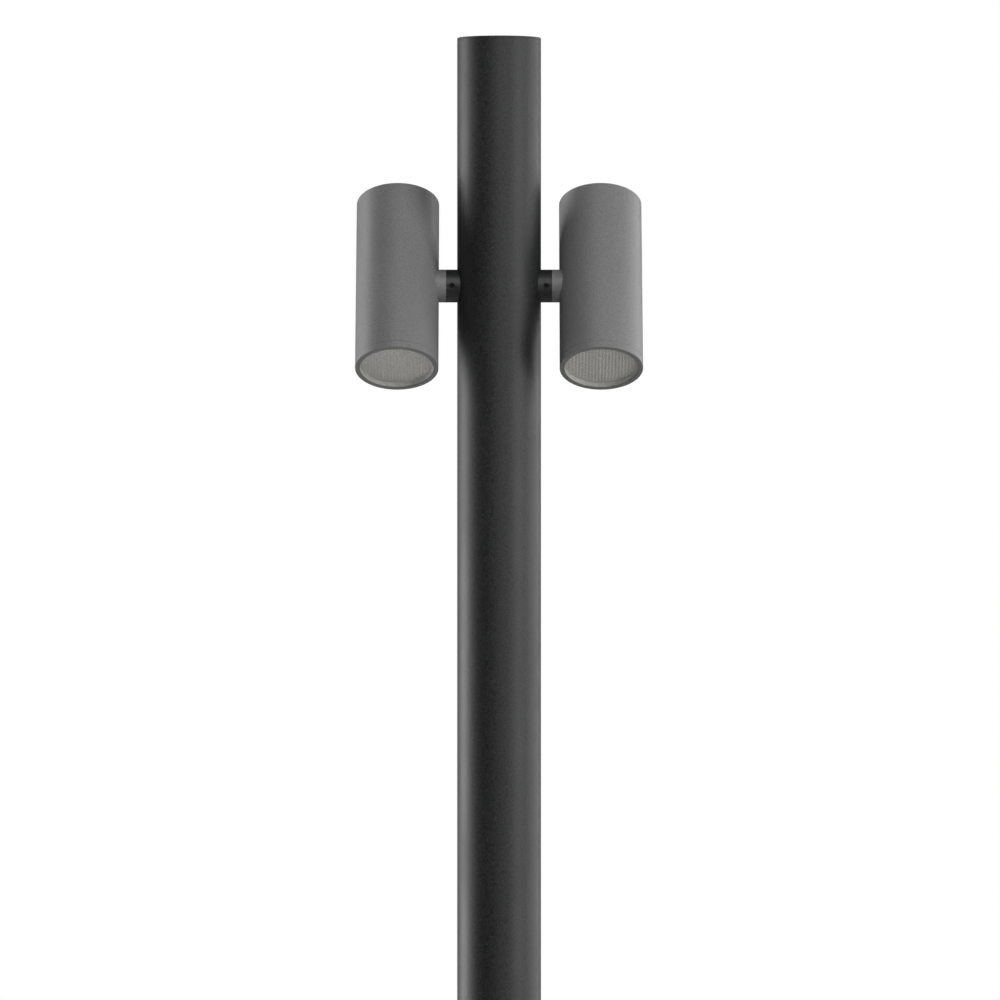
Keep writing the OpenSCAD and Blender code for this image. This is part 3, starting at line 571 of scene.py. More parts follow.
class LuminaireSizes(bpy.types.PropertyGroup):
    """Sizes of the detail that the finished pieces add to the CAD."""
    neck: FloatProperty(name="Neck", description="Diameter of the collars' necks",
                        default=34 * MM, unit="LENGTH")
    shaft: FloatProperty(name="Shaft", description="Diameter of the swivel shafts",
                         default=26 * MM, unit="LENGTH")
    shaft_bore: FloatProperty(name="Shaft Bore", description="Bore of the swivel shafts",
                              default=12 * MM, unit="LENGTH")
    run: FloatProperty(name="Running Clearance", description="Clearance round the shafts",
                       default=0.06 * MM, unit="LENGTH")
    joint_gap: FloatProperty(name="Joint Gap", description="Gap between the arms' halves",
                             default=0.4 * MM, unit="LENGTH")
    stub_edge: FloatProperty(name="Stub Edge", description="Rounding at the joint",
                             default=0.2 * MM, unit="LENGTH")
    screw_sink: FloatProperty(name="Screw Sink", description="Depth of the locking screws",
                              default=0.7 * MM, unit="LENGTH")
    line: FloatProperty(name="Index Line", description="Width of the collars' index lines",
                        default=1.2 * MM, unit="LENGTH")
    wall: FloatProperty(name="Housing Wall", description="Wall of the lamp housings",
                        default=3 * MM, unit="LENGTH")
    edge: FloatProperty(name="Coated Edge", description="Rounding of coated outer edges",
                        default=0.5 * MM, unit="LENGTH")
    fine_edge: FloatProperty(name="Fine Edge", description="Rounding of small turned edges",
                             default=0.2 * MM, unit="LENGTH")
    bead: FloatProperty(name="Weld Ripple", description="Height of the ripples in the weld",
                        default=0.35 * MM, unit="LENGTH")
    ripples: IntProperty(name="Weld Ripples", description="Ripples round the weld", default=72)
    rib_height: FloatProperty(name="Rib Height", description="Height of the lens ribs",
                              default=0.5 * MM, unit="LENGTH")


class LuminaireFinish(bpy.types.PropertyGroup):
    """Colours and grain of the finishes."""
    column_colour: FloatVectorProperty(name="Column", description="Colour of the column's coat",
                                       subtype="COLOR", default=(0.0100, 0.0105, 0.0108))
    lamp_colour: FloatVectorProperty(name="Lamps", description="Colour of the lamps' coat",
                                     subtype="COLOR", default=(0.165, 0.167, 0.165))
    lens_colour: FloatVectorProperty(name="Lens", description="Colour of the ribbed plates",
                                     subtype="COLOR", default=(0.318, 0.293, 0.265))
    grain: FloatProperty(name="Grain", description="Size of the powder coat's grain",
                         default=1.6 * MM, unit="LENGTH")
    peel: FloatProperty(name="Orange Peel", description="Height of the powder coat's grain",
                        default=0.09 * MM, unit="LENGTH")
    mottle: FloatProperty(name="Mottle", description="Contrast of the lamps' coat's grain",
                          default=0.14)
    # painted shade: how dark the rings' flat faces are painted, as a factor on the coat's colour
    rim: FloatProperty(name="Rim Painted Shade", description="Brightness of the rings' flat faces",
                       default=0.72)
    gloss: FloatProperty(name="Uneven Gloss", description="Contrast of the coat's roughness",
                         default=0.15)
    rib_pitch: FloatProperty(name="Rib Pitch", description="Spacing of the lens ribs",
                             default=4 * MM, unit="LENGTH")


class LuminaireStudio(bpy.types.PropertyGroup):
    """Camera and lights."""
    distance: FloatProperty(name="Distance", description="Camera's distance from the column",
                            default=9.311, unit="LENGTH")
    drop: FloatProperty(name="Drop", description="Camera's height below the arms",
                        default=0.2604, unit="LENGTH")
    aside: FloatProperty(name="Aside", description="Camera's offset to the right",
                         default=0.0011, unit="LENGTH")
    lens: FloatProperty(name="Lens", description="Focal length in millimetres", default=275.4)
    left: FloatProperty(name="Left Strip", description="Power of the left light",
                        default=100.0)
    upper: FloatProperty(name="Upper Panel", description="Power of the panel at the upper left",
                         default=22.0)
    right: FloatProperty(name="Right Strip", description="Power of the right light",
                         default=42.0)
    rear: FloatProperty(name="Rear Strip", description="Power of the light at the right rear",
                        default=36.0)
    side: FloatProperty(name="Side Panel", description="Power of the panel at the right front",
                        default=54.0)
    front: FloatProperty(name="Front Panel", description="Power of the front panel",
                         default=14.0)
    top: FloatProperty(name="Top Panel", description="Power of the panel above", default=55.0)
    sky: FloatProperty(name="Surround", description="Strength of the surround", default=0.08)


# ---------------------------------------------------------------- column

class LUMINAIRE_OT_column_tube(bpy.types.Operator):
    """Column tube with its door opening and the passages of the two arms"""
    bl_idname = "luminaire.column_tube"
    bl_label = "Column Tube"

    def execute(self, context):
        sizes = context.scene.luminaire_sizes
        low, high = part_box("pole_tube")
        radius = column_radius()
        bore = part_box("cap_o_ring")[1].x + 2 * FIT
        outline = [(bore, low.z), (radius, low.z), (radius, high.z), (bore, high.z)]
        tube = turned("column_tube", outline, 192, ring=True)
        door_low, door_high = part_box("door_panel")
        gap = Vector((0.5 * MM, 0, 0.5 * MM))
        reach = Vector((0, MM, 0))
        opening = rounded_block("door opening", door_low - gap - reach,
                                Vector((door_high.x, 0, door_high.z)) + gap, 10 * MM, "y")
        passage = rod("arm passage", sizes.neck / 2 + FIT, -radius - MM, radius + MM, "x")
        cut(tube, opening, placed(passage, Matrix.Translation((0, 0, arm_height()))))
        softened(tube, 0.3 * MM, 2, 50)
        fitted(tube, "pole", "column_coating", "pole_tube")
        return {"FINISHED"}


class LUMINAIRE_OT_top_cap(bpy.types.Operator):
    """Top cap with a rounded edge and a hollow spigot"""
    bl_idname = "luminaire.top_cap"
    bl_label = "Top Cap"

    def execute(self, context):
        low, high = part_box("pole_cap")
        tube_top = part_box("pole_tube")[1].z
        radius = column_radius()
        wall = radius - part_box("cap_o_ring")[1].x
        spigot = radius - wall - FIT
        hollow = spigot - 8 * MM
        ceiling = tube_top - 2 * MM
        chamfer = 0.6 * MM
        edge = 1.2 * MM
        outline = [(AXIS, ceiling), (hollow, ceiling), (hollow, low.z),
                   (spigot - chamfer, low.z), (spigot, low.z + chamfer), (spigot, tube_top + FIT),
                   (radius - 0.3 * MM, tube_top + FIT), (radius, tube_top + 0.35 * MM)]
        outline += arc((radius - edge, high.z - edge), edge, 0, 90, 6)
        outline += [(radius * 0.5, high.z), (AXIS, high.z)]
        cap = turned("top_cap", outline, 160)
        fitted(cap, "pole", "column_coating", "pole_cap")
        return {"FINISHED"}


class LUMINAIRE_OT_foot(bpy.types.Operator):
    """Foot plate with rounded corners and bolt holes, and the rippled weld round the column"""
    bl_idname = "luminaire.foot"
    bl_label = "Foot Plate and Weld"

    def execute(self, context):
        sizes = context.scene.luminaire_sizes
        low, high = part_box("base_plate")
        radius = column_radius()
        mount = {m["name"]: m for m in frame["record"]["mounts"]}
        bolts = mount["anchor_bolts"]["dims"]
        entry = mount["cable_entry"]["dims"]
        socket = low.z + entry["length_mm"] * MM
        plate = rounded_block("foot_plate", low, high, 15 * MM)
        for x in (-0.5, 0.5):
            for y in (-0.5, 0.5):
                hole = rod("bolt hole", bolts["hole_r_mm"] * MM, low.z - MM, high.z + MM)
                placed(hole, Matrix.Translation((x * bolts["spacing_x_mm"] * MM,
                                                 y * bolts["spacing_y_mm"] * MM, 0)))
                cut(plate, hole)
        cut(plate, rod("entry", entry["r_mm"] * MM, low.z - MM, high.z + MM, sides=96),
            rod("socket", radius + FIT, socket, high.z + MM, sides=160))
        softened(plate, 1.0 * MM, 3, 40)
        fitted(plate, "pole", "column_coating", "base_plate")
        self.weld(sizes, radius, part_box("base_weld"))
        return {"FINISHED"}

    def weld(self, sizes, radius, box):
        """A bead with a slightly hollow face and evenly spaced ripples."""
        leg = box[1].z - box[0].z
        toe = radius + FIT
        clear = 0.4 * MM
        face = [(toe + leg * (1 - t) * (1 - 0.25 * t), box[0].z + leg * t * (0.75 + 0.25 * t))
                for t in (0.0, 0.2, 0.4, 0.6, 0.8, 1.0)]
        bead = turned("foot_weld", [(toe, box[0].z)] + face, sizes.ripples * 4, ring=True)
        open_edit(bead, "VERT")
        step = math.tau / sizes.ripples
        choose(bead, "VERT", lambda v: math.hypot(v.co.x, v.co.y) > toe + clear
               and v.co.z > box[0].z + clear
               and (math.atan2(v.co.y, v.co.x) / step) % 1 < 0.3)
        bpy.ops.transform.shrink_fatten(value=-sizes.bead)
        close_edit()
        fitted(bead, "pole", "column_coating", "base_weld", angle=60)


class LUMINAIRE_OT_service_door(bpy.types.Operator):
    """Curved service door with soft edges, and its domed captive screws"""
    bl_idname = "luminaire.service_door"
    bl_label = "Service Door"

    def execute(self, context):
        sizes = context.scene.luminaire_sizes
        low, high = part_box("door_panel")
        radius = column_radius()
        inside = radius - 2.4 * MM
        corner = 9.5 * MM
        leaf = turned("door_leaf", [(inside, low.z), (radius, low.z), (radius, high.z),
                                    (inside, high.z)], 256, ring=True)
        prism = rounded_block("door outline", (low.x, -radius - MM, low.z), (high.x, 0, high.z),
                              corner, "y")
        combined(leaf, prism, "INTERSECT")
        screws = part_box("door_screws")
        head = (screws[1].x - screws[0].x) / 2
        heights = (screws[0].z + head, screws[1].z - head)
        for z in heights:
            hole = rod("screw hole", 3.3 * MM, -radius - MM, 0, "y", 48)
            cut(leaf, placed(hole, Matrix.Translation((0, 0, z))))
        softened(leaf, sizes.edge, 2, 40)
        fitted(leaf, "access_door", "column_coating", "door_panel")
        self.bolts(screws, head, heights, radius)
        return {"FINISHED"}

    def bolts(self, box, head, heights, radius):
        """Button-head screws: a shallow dome with a hexagon socket and a plain shank."""
        under = -radius - FIT
        rise = under - box[0].y
        end = -(box[1].y - under)
        shank = 2.95 * MM
        dome = [(head * math.cos(a), rise * (0.25 + 0.75 * math.sin(a)))
                for a in [math.radians(15 * i) for i in range(6)]]
        outline = [(AXIS, end), (2.5 * MM, end), (shank, end + 0.5 * MM), (shank, 0), (head, 0)]
        outline += dome + [(AXIS, rise)]
        screw = turned("door_screw", outline, 64)
        cut(screw, hex_tool("key socket", 4 * MM, rise - 1.9 * MM, rise + MM))
        softened(screw, 0.12 * MM, 2, 45)
        stand = Matrix.Translation((0, under, 0)) @ Matrix.Rotation(math.pi / 2, 4, "X")
        placed(screw, stand)
        both = [copied(screw, name, Matrix.Translation((0, 0, z)))
                for name, z in zip(("lower_door_screw", "upper_door_screw"), heights)]
        bpy.data.objects.remove(screw)
        fitted(joined("door_bolts", both), "access_door", "screw_steel", "door_screws")


# ---------------------------------------------------------------- arms

class LUMINAIRE_OT_arm_collars(bpy.types.Operator):
    """Arm collars: short necks through the column's wall, a countersunk hole and an index line"""
    bl_idname = "luminaire.arm_collars"
    bl_label = "Arm Collars"

    def execute(self, context):
        sizes = context.scene.luminaire_sizes
        low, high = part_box("right_collar")
        arm = (high.z - low.z) / 2
        bore = sizes.shaft / 2 + sizes.run
        radius = column_radius()
        core = turned("collar", [(bore, radius * 0.8), (arm, radius * 0.8), (arm, high.x),
                                 (bore, high.x)], 128, ring=True)
        placed(core, arm_matrix())
        axis_z = (low.z + high.z) / 2
        cut(core, rod("column", radius + FIT, low.z - MM, high.z + MM, sides=160))
        neck = turned("neck", [(bore, low.x), (sizes.neck / 2, low.x),
                               (sizes.neck / 2, high.x - 3 * MM), (bore, high.x - 3 * MM)],
                      128, ring=True)
        grown(core, placed(neck, arm_matrix()))
        cut(core, *self.marks(sizes, arm, high.x, axis_z))
        softened(core, sizes.fine_edge, 2, 40)
        for side, collar in pair(core, "arm_collar").items():
            fitted(collar, "pole", "column_coating", side + "_collar")
        return {"FINISHED"}

    def marks(self, sizes, arm, face, axis_z):
        """Tools for the screw's hole, the stop pin's hole and the index line."""
        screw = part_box("right_lock_screw")
        screw_r = (screw[1].x - screw[0].x) / 2 + FIT
        screw_x = (screw[0].x + screw[1].x) / 2
        flare = 0.5 * MM
        hole = turned("screw hole", [(AXIS, 0), (screw_r, 0), (screw_r, arm - flare),
                                     (screw_r + 2 * flare, arm + flare), (AXIS, arm + flare)], 48)
        stand = Matrix.Translation((screw_x, 0, axis_z))
        placed(hole, stand @ Matrix.Rotation(math.pi / 2, 4, "X"))
        line_low = (screw_x + screw_r + 0.6 * MM, -arm - MM, axis_z - sizes.line / 2)
        line_high = (face + MM, -arm + 1.8 * MM, axis_z + sizes.line / 2)
        line = block("index line", line_low, line_high)
        stop = rod("stop hole", 2 * MM, 0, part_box("stop_pins")[1].z - axis_z + MM)
        stop_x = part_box("right_collar")[0].x + STOP_AT
        return hole, line, placed(stop, Matrix.Translation((stop_x, 0, axis_z)))


class LUMINAIRE_OT_swivel_arms(bpy.types.Operator):
    """Lamps' halves of the arms: a stub cut to the housing's curve, on a grooved hollow shaft"""
    bl_idname = "luminaire.swivel_arms"
    bl_label = "Swivel Arms"

    def execute(self, context):
        sizes = context.scene.luminaire_sizes
        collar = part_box("right_collar")
        arm = (collar[1].z - collar[0].z) / 2
        start = collar[1].x + sizes.joint_gap
        edge = sizes.stub_edge
        shaft = sizes.shaft / 2
        lamp_r = lamp_extent("right_housing")[2]
        end = joint("right_tilt")["pos_m"][0] - lamp_r * 0.6
        lip = collar[1].x + FIT
        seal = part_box("joint_seals")
        inside = (seal[1].z - seal[0].z) / 2 + FIT
        outline = [(shaft - MM, start), (inside, start), (inside, lip), (arm - edge, lip),
                   (arm - edge * 0.3, lip + edge * 0.3), (arm, lip + edge), (arm, end),
                   (shaft - MM, end)]
        stub = turned("stub", outline, 160, ring=True)
        placed(stub, arm_matrix())
        barrel = rod("housing curve", lamp_r + FIT, -lamp_r * 2, lamp_r * 2, sides=192)
        cut(stub, placed(barrel, lamp_matrix("right")))
        grown(stub, self.shaft(sizes, shaft, collar))
        softened(stub, 0.12 * MM, 2, 50)
        for side, piece in pair(stub, "swivel_arm").items():
            fitted(piece, side + "_head", "lamp_coating", side + "_swivel_shaft")
        return {"FINISHED"}

    def shaft(self, sizes, radius, collar):
        """The hollow shaft, with the grooves of the clip, the stop pin and the locking screw."""
        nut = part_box("right_shaft_nuts")
        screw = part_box("right_lock_screw")
        bore = sizes.shaft_bore / 2
        inner = nut[0].x - 3 * MM
        outer = nut[1].x + MM
        clip = (nut[0].x - FIT, nut[0].x + 1.5 * MM + FIT)
        lock = (screw[0].x - 0.25 * MM, screw[1].x + 0.25 * MM)
        deep = radius - 1.5 * MM
        outline = [(bore, inner), (radius - 0.5 * MM, inner), (radius, inner + 0.5 * MM)]
        for start, end in (clip, lock):
            outline += [(radius, start), (deep, start), (deep, end), (radius, end)]
        outline += [(radius, outer), (bore, outer)]
        shaft = turned("shaft", outline, 128, ring=True)
        stop_x = collar[0].x + STOP_AT
        half = 2.3 * MM
        floor, rim = radius - 2.5 * MM, radius + MM
        ring = turned("stop groove", [(floor, stop_x - half), (rim, stop_x - half),
                                      (rim, stop_x + half), (floor, stop_x + half)],
                      128, ring=True)
        ridge = block("stop ridge", (0, -2 * radius, stop_x - 2 * half),
                      (2 * radius, 2 * radius, stop_x + 2 * half))
        cut(ring, placed(ridge, Matrix.Translation((half, 0, 0))))
        cut(shaft, ring)
        tilt = Matrix.Rotation(lamp_matrix("right").to_euler().x, 4, "X")
        stand = Matrix.Translation((0, 0, arm_height()))
        return placed(shaft, stand @ tilt @ Matrix.Rotation(math.radians(90), 4, "Y"))


class LUMINAIRE_OT_locking_screws(bpy.types.Operator):
    """Socket screws in the collars, with a chamfered rim round the key socket"""
    bl_idname = "luminaire.locking_screws"
    bl_label = "Locking Screws"

    def execute(self, context):
        for side in SIDES:
            low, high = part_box(side + "_lock_screw")
            radius = (high.x - low.x) / 2
            length = high.y - low.y - context.scene.luminaire_sizes.screw_sink
            chamfer = 0.35 * MM
            outline = [(AXIS, 0), (radius * 0.66, 0), (radius, length * 0.16),
                       (radius, length - chamfer), (radius - chamfer, length), (AXIS, length)]
            screw = turned(side + "_locking_screw", outline, 48)
            cut(screw, hex_tool("key socket", 3 * MM, length - 3 * MM, length + MM))
            centre = (low + high) / 2
            stand = Matrix.Translation((centre.x, high.y, centre.z))
            placed(screw, stand @ Matrix.Rotation(math.pi / 2, 4, "X"))
            fitted(screw, side + "_lock", "lock_steel", side + "_lock_screw")
        return {"FINISHED"}


# ---------------------------------------------------------------- lamps

class LUMINAIRE_OT_housings(bpy.types.Operator):
    """Lamp housings: a tube with rounded rear rim, bosses for the rear screws and a nut pad"""
    bl_idname = "luminaire.housings"
    bl_label = "Lamp Housings"

    def execute(self, context):
        sizes = context.scene.luminaire_sizes
        low, high, radius = lamp_extent("right_housing")
        cap = lamp_extent("right_rear_cap")
        screws = lamp_extent("right_rear_cap_screws")
        bore = radius - sizes.wall
        seat = high - CAP_SEAT
        socket = cap[2] + FIT
        edge = 1.2 * MM
        chamfer = 0.2 * MM
        outline = [(bore, low), (radius - chamfer, low), (radius, low + chamfer)]
        outline += arc((radius - edge, high - edge), edge, 0, 90, 6)
        outline += [(socket + chamfer, high), (socket, high - chamfer), (socket, seat),
                    (bore, seat)]
        shell = turned("housing", outline, 192, ring=True)
        boss_at = screws[2] - CAP_HEAD
        boss_low, boss_high = cap[0] - 16 * MM, cap[0] - FIT
        for angle in SCREW_ANGLES:
            boss = rod("boss", 4 * MM, boss_low, boss_high, sides=32)
            placed(boss, Matrix.Translation((boss_at, 0, 0)))
            rib = block("rib", (boss_at, -3 * MM, boss_low), (bore + MM, 3 * MM, boss_high))
            hole = rod("screw hole", 2 * MM, cap[0] - 14 * MM, cap[0] + MM, sides=24)
            placed(hole, Matrix.Translation((boss_at, 0, 0)))
            turn = Matrix.Rotation(angle, 4, "Z")
            grown(shell, placed(boss, turn), placed(rib, turn))
            cut(shell, placed(hole, turn))
        pad = rod("nut pad", 19 * MM, -bore - 2 * MM, -bore + 6.5 * MM, "x")
        combined(pad, rod("inner curve", bore + MM, -radius, radius, sides=128), "INTERSECT")
        grown(shell, pad)
        cut(shell, rod("shaft passage", sizes.shaft / 2 + FIT, -radius - MM, 0, "x"))
        placed(shell, lamp_matrix("right"))
        for side, piece in pair(shell, "shell").items():
            fitted(piece, side + "_head", "lamp_coating", side + "_housing")
        return {"FINISHED"}


class LUMINAIRE_OT_rear_caps(bpy.types.Operator):
    """Rear caps with a seal groove and counterbores, and their socket-head screws"""
    bl_idname = "luminaire.rear_caps"
    bl_label = "Rear Caps"

    def execute(self, context):
        sizes = context.scene.luminaire_sizes
        low, face, radius = lamp_extent("right_rear_cap")
        screws = lamp_extent("right_rear_cap_screws")
        _, housing_end, housing_r = lamp_extent("right_housing")
        seat = housing_end - CAP_SEAT
        spigot = housing_r - sizes.wall - 2 * FIT
        room = spigot - 9.5 * MM
        ring_low, ring_high, ring_r = lamp_extent("right_rear_o_ring")
        deep = ring_r - (ring_high - ring_low) - FIT
        edge = 0.6 * MM
        chamfer = 0.4 * MM
        outline = [(AXIS, seat), (room, seat), (room, low), (spigot - chamfer, low),
                   (spigot, low + chamfer), (spigot, ring_low - FIT), (deep, ring_low - FIT),
                   (deep, ring_high + FIT), (spigot, ring_high + FIT), (spigot, seat + FIT),
                   (radius, seat + FIT)]
        outline += arc((radius - edge, face - edge), edge, 0, 90, 4)
        groove = face - 0.4 * MM
        outline += [(radius - 3 * MM, face), (radius - 3.3 * MM, groove),
                    (radius - 3.9 * MM, groove), (radius - 4.2 * MM, face), (AXIS, face)]
        cap = turned("cap", outline, 192)
        boss_at = screws[2] - CAP_HEAD
        for angle in SCREW_ANGLES:
            turn = Matrix.Rotation(angle, 4, "Z") @ Matrix.Translation((boss_at, 0, 0))
            wide = rod("counterbore", 3.8 * MM, face - 4 * MM, face + MM, sides=48)
            narrow = rod("screw hole", 2.2 * MM, low - MM, face + MM, sides=32)
            cut(cap, placed(wide, turn), placed(narrow, turn))
        softened(cap, 0.2 * MM, 2, 60)
        placed(cap, lamp_matrix("right"))
        for side, piece in pair(cap, "end_cap").items():
            fitted(piece, side + "_head", "lamp_coating", side + "_rear_cap")
        self.screws(screws, boss_at)
        return {"FINISHED"}

    def screws(self, extent, boss_at):
        """Four socket-head screws, each with a hexagon socket and a rounded head."""
        low, high, reach = extent
        head = reach - boss_at
        under = high - 3.6 * MM
        shank = 1.95 * MM
        outline = [(AXIS, low), (1.6 * MM, low), (shank, low + 0.5 * MM), (shank, under),
                   (head, under), (head, high - 0.4 * MM), (head - 0.12 * MM, high - 0.12 * MM),
                   (head - 0.4 * MM, high), (AXIS, high)]
        screw = turned("cap screw", outline, 48)
        cut(screw, hex_tool("key socket", 3 * MM, high - 2 * MM, high + MM))
        softened(screw, 0.08 * MM, 2, 50)
        turns = [Matrix.Rotation(a, 4, "Z") @ Matrix.Translation((boss_at, 0, 0))
                 for a in SCREW_ANGLES]
        ring = [copied(screw, "cap_screw_%d" % i, turn) for i, turn in enumerate(turns)]
        bpy.data.objects.remove(screw)
        whole = placed(joined("cap_screws", ring), lamp_matrix("right"))
        for side, piece in pair(whole, "cap_screws").items():
            fitted(piece, side + "_head", "screw_steel", side + "_rear_cap_screws")


class LUMINAIRE_OT_glass_gaskets(bpy.types.Operator):
    """Glass gaskets: L-shaped rings that wrap the glass's edge and bed the lens's ribs"""
    bl_idname = "luminaire.glass_gaskets"
    bl_label = "Glass Gaskets"

    def execute(self, context):
        low, high, radius = lamp_extent("right_glass_gasket")
        high += context.scene.luminaire_sizes.rib_height
        glass_low, _, glass_r = lamp_extent("right_glass")
        clear = glass_r + FIT - LIP
        inner = clear - 0.8 * MM
        wall = radius - GLASS_EDGE + FIT
        bead = 0.15 * MM
        outline = [(radius, glass_low + FIT), (radius, high), (inner + bead, high)]
        outline += arc((inner + bead, high - bead), bead, 90, 180, 3)
        outline += arc((inner + bead, low + bead), bead, 180, 270, 3)
        outline += [(wall, low), (wall, glass_low + FIT)]
        ring = turned("gasket", outline, 160, ring=True)
        placed(ring, lamp_matrix("right"))
        for side, piece in pair(ring, "glass_seal").items():
            fitted(piece, side + "_head", "gasket_silicone", side + "_glass_gasket")
        return {"FINISHED"}


class LUMINAIRE_OT_front_rings(bpy.types.Operator):
    """Front rings: flat rim with softened edges, lip for the glass and a spigot"""
    bl_idname = "luminaire.front_rings"
    bl_label = "Front Rings"

    def execute(self, context):
        sizes = context.scene.luminaire_sizes
        for side in SIDES:
            low, high, radius = lamp_extent(side + "_front_ring")
            glass_low, _, glass_r = lamp_extent(side + "_glass")
            housing_low = lamp_extent(side + "_housing")[0]
            seat = glass_r + FIT
            clear = seat - LIP
            spigot = radius - 3 * MM - FIT
            soft = sizes.edge
            chamfer = 0.15 * MM
            outline = [(clear, low + chamfer), (clear + chamfer, low)]
            outline += arc((radius - soft, low + soft), soft, -90, 0, 4)
            outline += [(radius, housing_low - 0.25 * MM), (radius - 0.2 * MM, housing_low - FIT),
                        (spigot, housing_low - FIT), (spigot, high - 0.4 * MM),
                        (spigot - 0.4 * MM, high), (seat, high), (seat, glass_low - FIT),
                        (clear, glass_low - FIT)]
            ring = turned(side + "_ring", outline, 192, ring=True)
            placed(ring, lamp_matrix(side))
            # the ring's coat has painted shade on its flat face round the glass
            material = ring_paint_with_painted_shade(context.scene.luminaire_finish, side)
            fitted(ring, side + "_head", "lamp_coating", side + "_front_ring",
                   material=material)
        return {"FINISHED"}


class LUMINAIRE_OT_front_glass(bpy.types.Operator):
    """Front glasses with ground edges"""
    bl_idname = "luminaire.front_glass"
    bl_label = "Front Glass"

    def execute(self, context):
        for side in SIDES:
            low, high, radius = lamp_extent(side + "_glass")
            radius -= GLASS_EDGE
            ground = 0.3 * MM
            outline = [(AXIS, low), (radius - ground, low), (radius, low + ground),
                       (radius, high - ground), (radius - ground, high), (AXIS, high)]
            pane = turned(side + "_pane", outline, 160)
            placed(pane, lamp_matrix(side))
            fitted(pane, side + "_head", "front_glass", side + "_glass", angle=20)
        return {"FINISHED"}


class LUMINAIRE_OT_spread_lenses(bpy.types.Operator):
    """Spread lenses: plates with slightly uneven ribs on their front"""
    bl_idname = "luminaire.spread_lenses"
    bl_label = "Spread Lenses"

    def execute(self, context):
        sizes = context.scene.luminaire_sizes
        pitch = context.scene.luminaire_finish.rib_pitch
        for side in SIDES:
            low, high, radius = lamp_extent(side + "_spread_lens")
            plate = self.ribbed(side, low, high, radius, pitch, sizes.rib_height)
            placed(plate, lamp_matrix(side))
            material = lens_plastic(context.scene.luminaire_finish, side)
            fitted(plate, side + "_head", "lens_plastic", side + "_spread_lens",
                   material=material, angle=60)
        return {"FINISHED"}

    def ribbed(self, side, low, high, radius, pitch, height):
        """A grid whose columns rise to rounded ribs, thickened and trimmed to a disc."""
        pick(None)
        ribs = math.ceil(2 * radius / pitch)
        bpy.ops.mesh.primitive_grid_add(x_subdivisions=ribs * 4, y_subdivisions=96,
                                        size=ribs * pitch, location=(0, 0, low + height))
        plate = bpy.context.object
        plate.name = side + "_lens_plate"
        seated(plate)
        open_edit(plate, "VERT")
        for phase, share in ((0.25, 0.65), (0.5, 1.0), (0.75, 0.65)):
            choose(plate, "VERT", lambda v: abs((v.co.x / pitch) % 1 - phase) < 0.05)
            bpy.ops.transform.translate(value=(0, 0, -height * share))
        bpy.ops.mesh.select_all(action="SELECT")
        bpy.ops.mesh.extrude_region_move(
            TRANSFORM_OT_translate={"value": (0, 0, high - low - height * 0.5)})
        bpy.ops.transform.resize(value=(1, 1, 0), center_override=(0, 0, high))
        bpy.ops.mesh.select_all(action="SELECT")
        bpy.ops.mesh.normals_make_consistent(inside=False)
        close_edit()
        disc = rod("disc", radius, low - MM, high + MM, sides=160)
        combined(plate, disc, "INTERSECT")
        return plate


class LUMINAIRE_OT_node_finishes(bpy.types.Operator):
    """Gives every CAD node that stays visible the material of its slot"""
    bl_idname = "luminaire.node_finishes"
    bl_label = "Node Finishes"

    def execute(self, context):
        slots = {s["node"]: s["material_slot"] for s in frame["record"]["subparts"]}
        for name, node in frame["nodes"].items():
            if node.hide_render:
                continue
            node.data.materials.clear()
            node.data.materials.append(finish_of(slots[name]))
        return {"FINISHED"}


# ---------------------------------------------------------------- stage

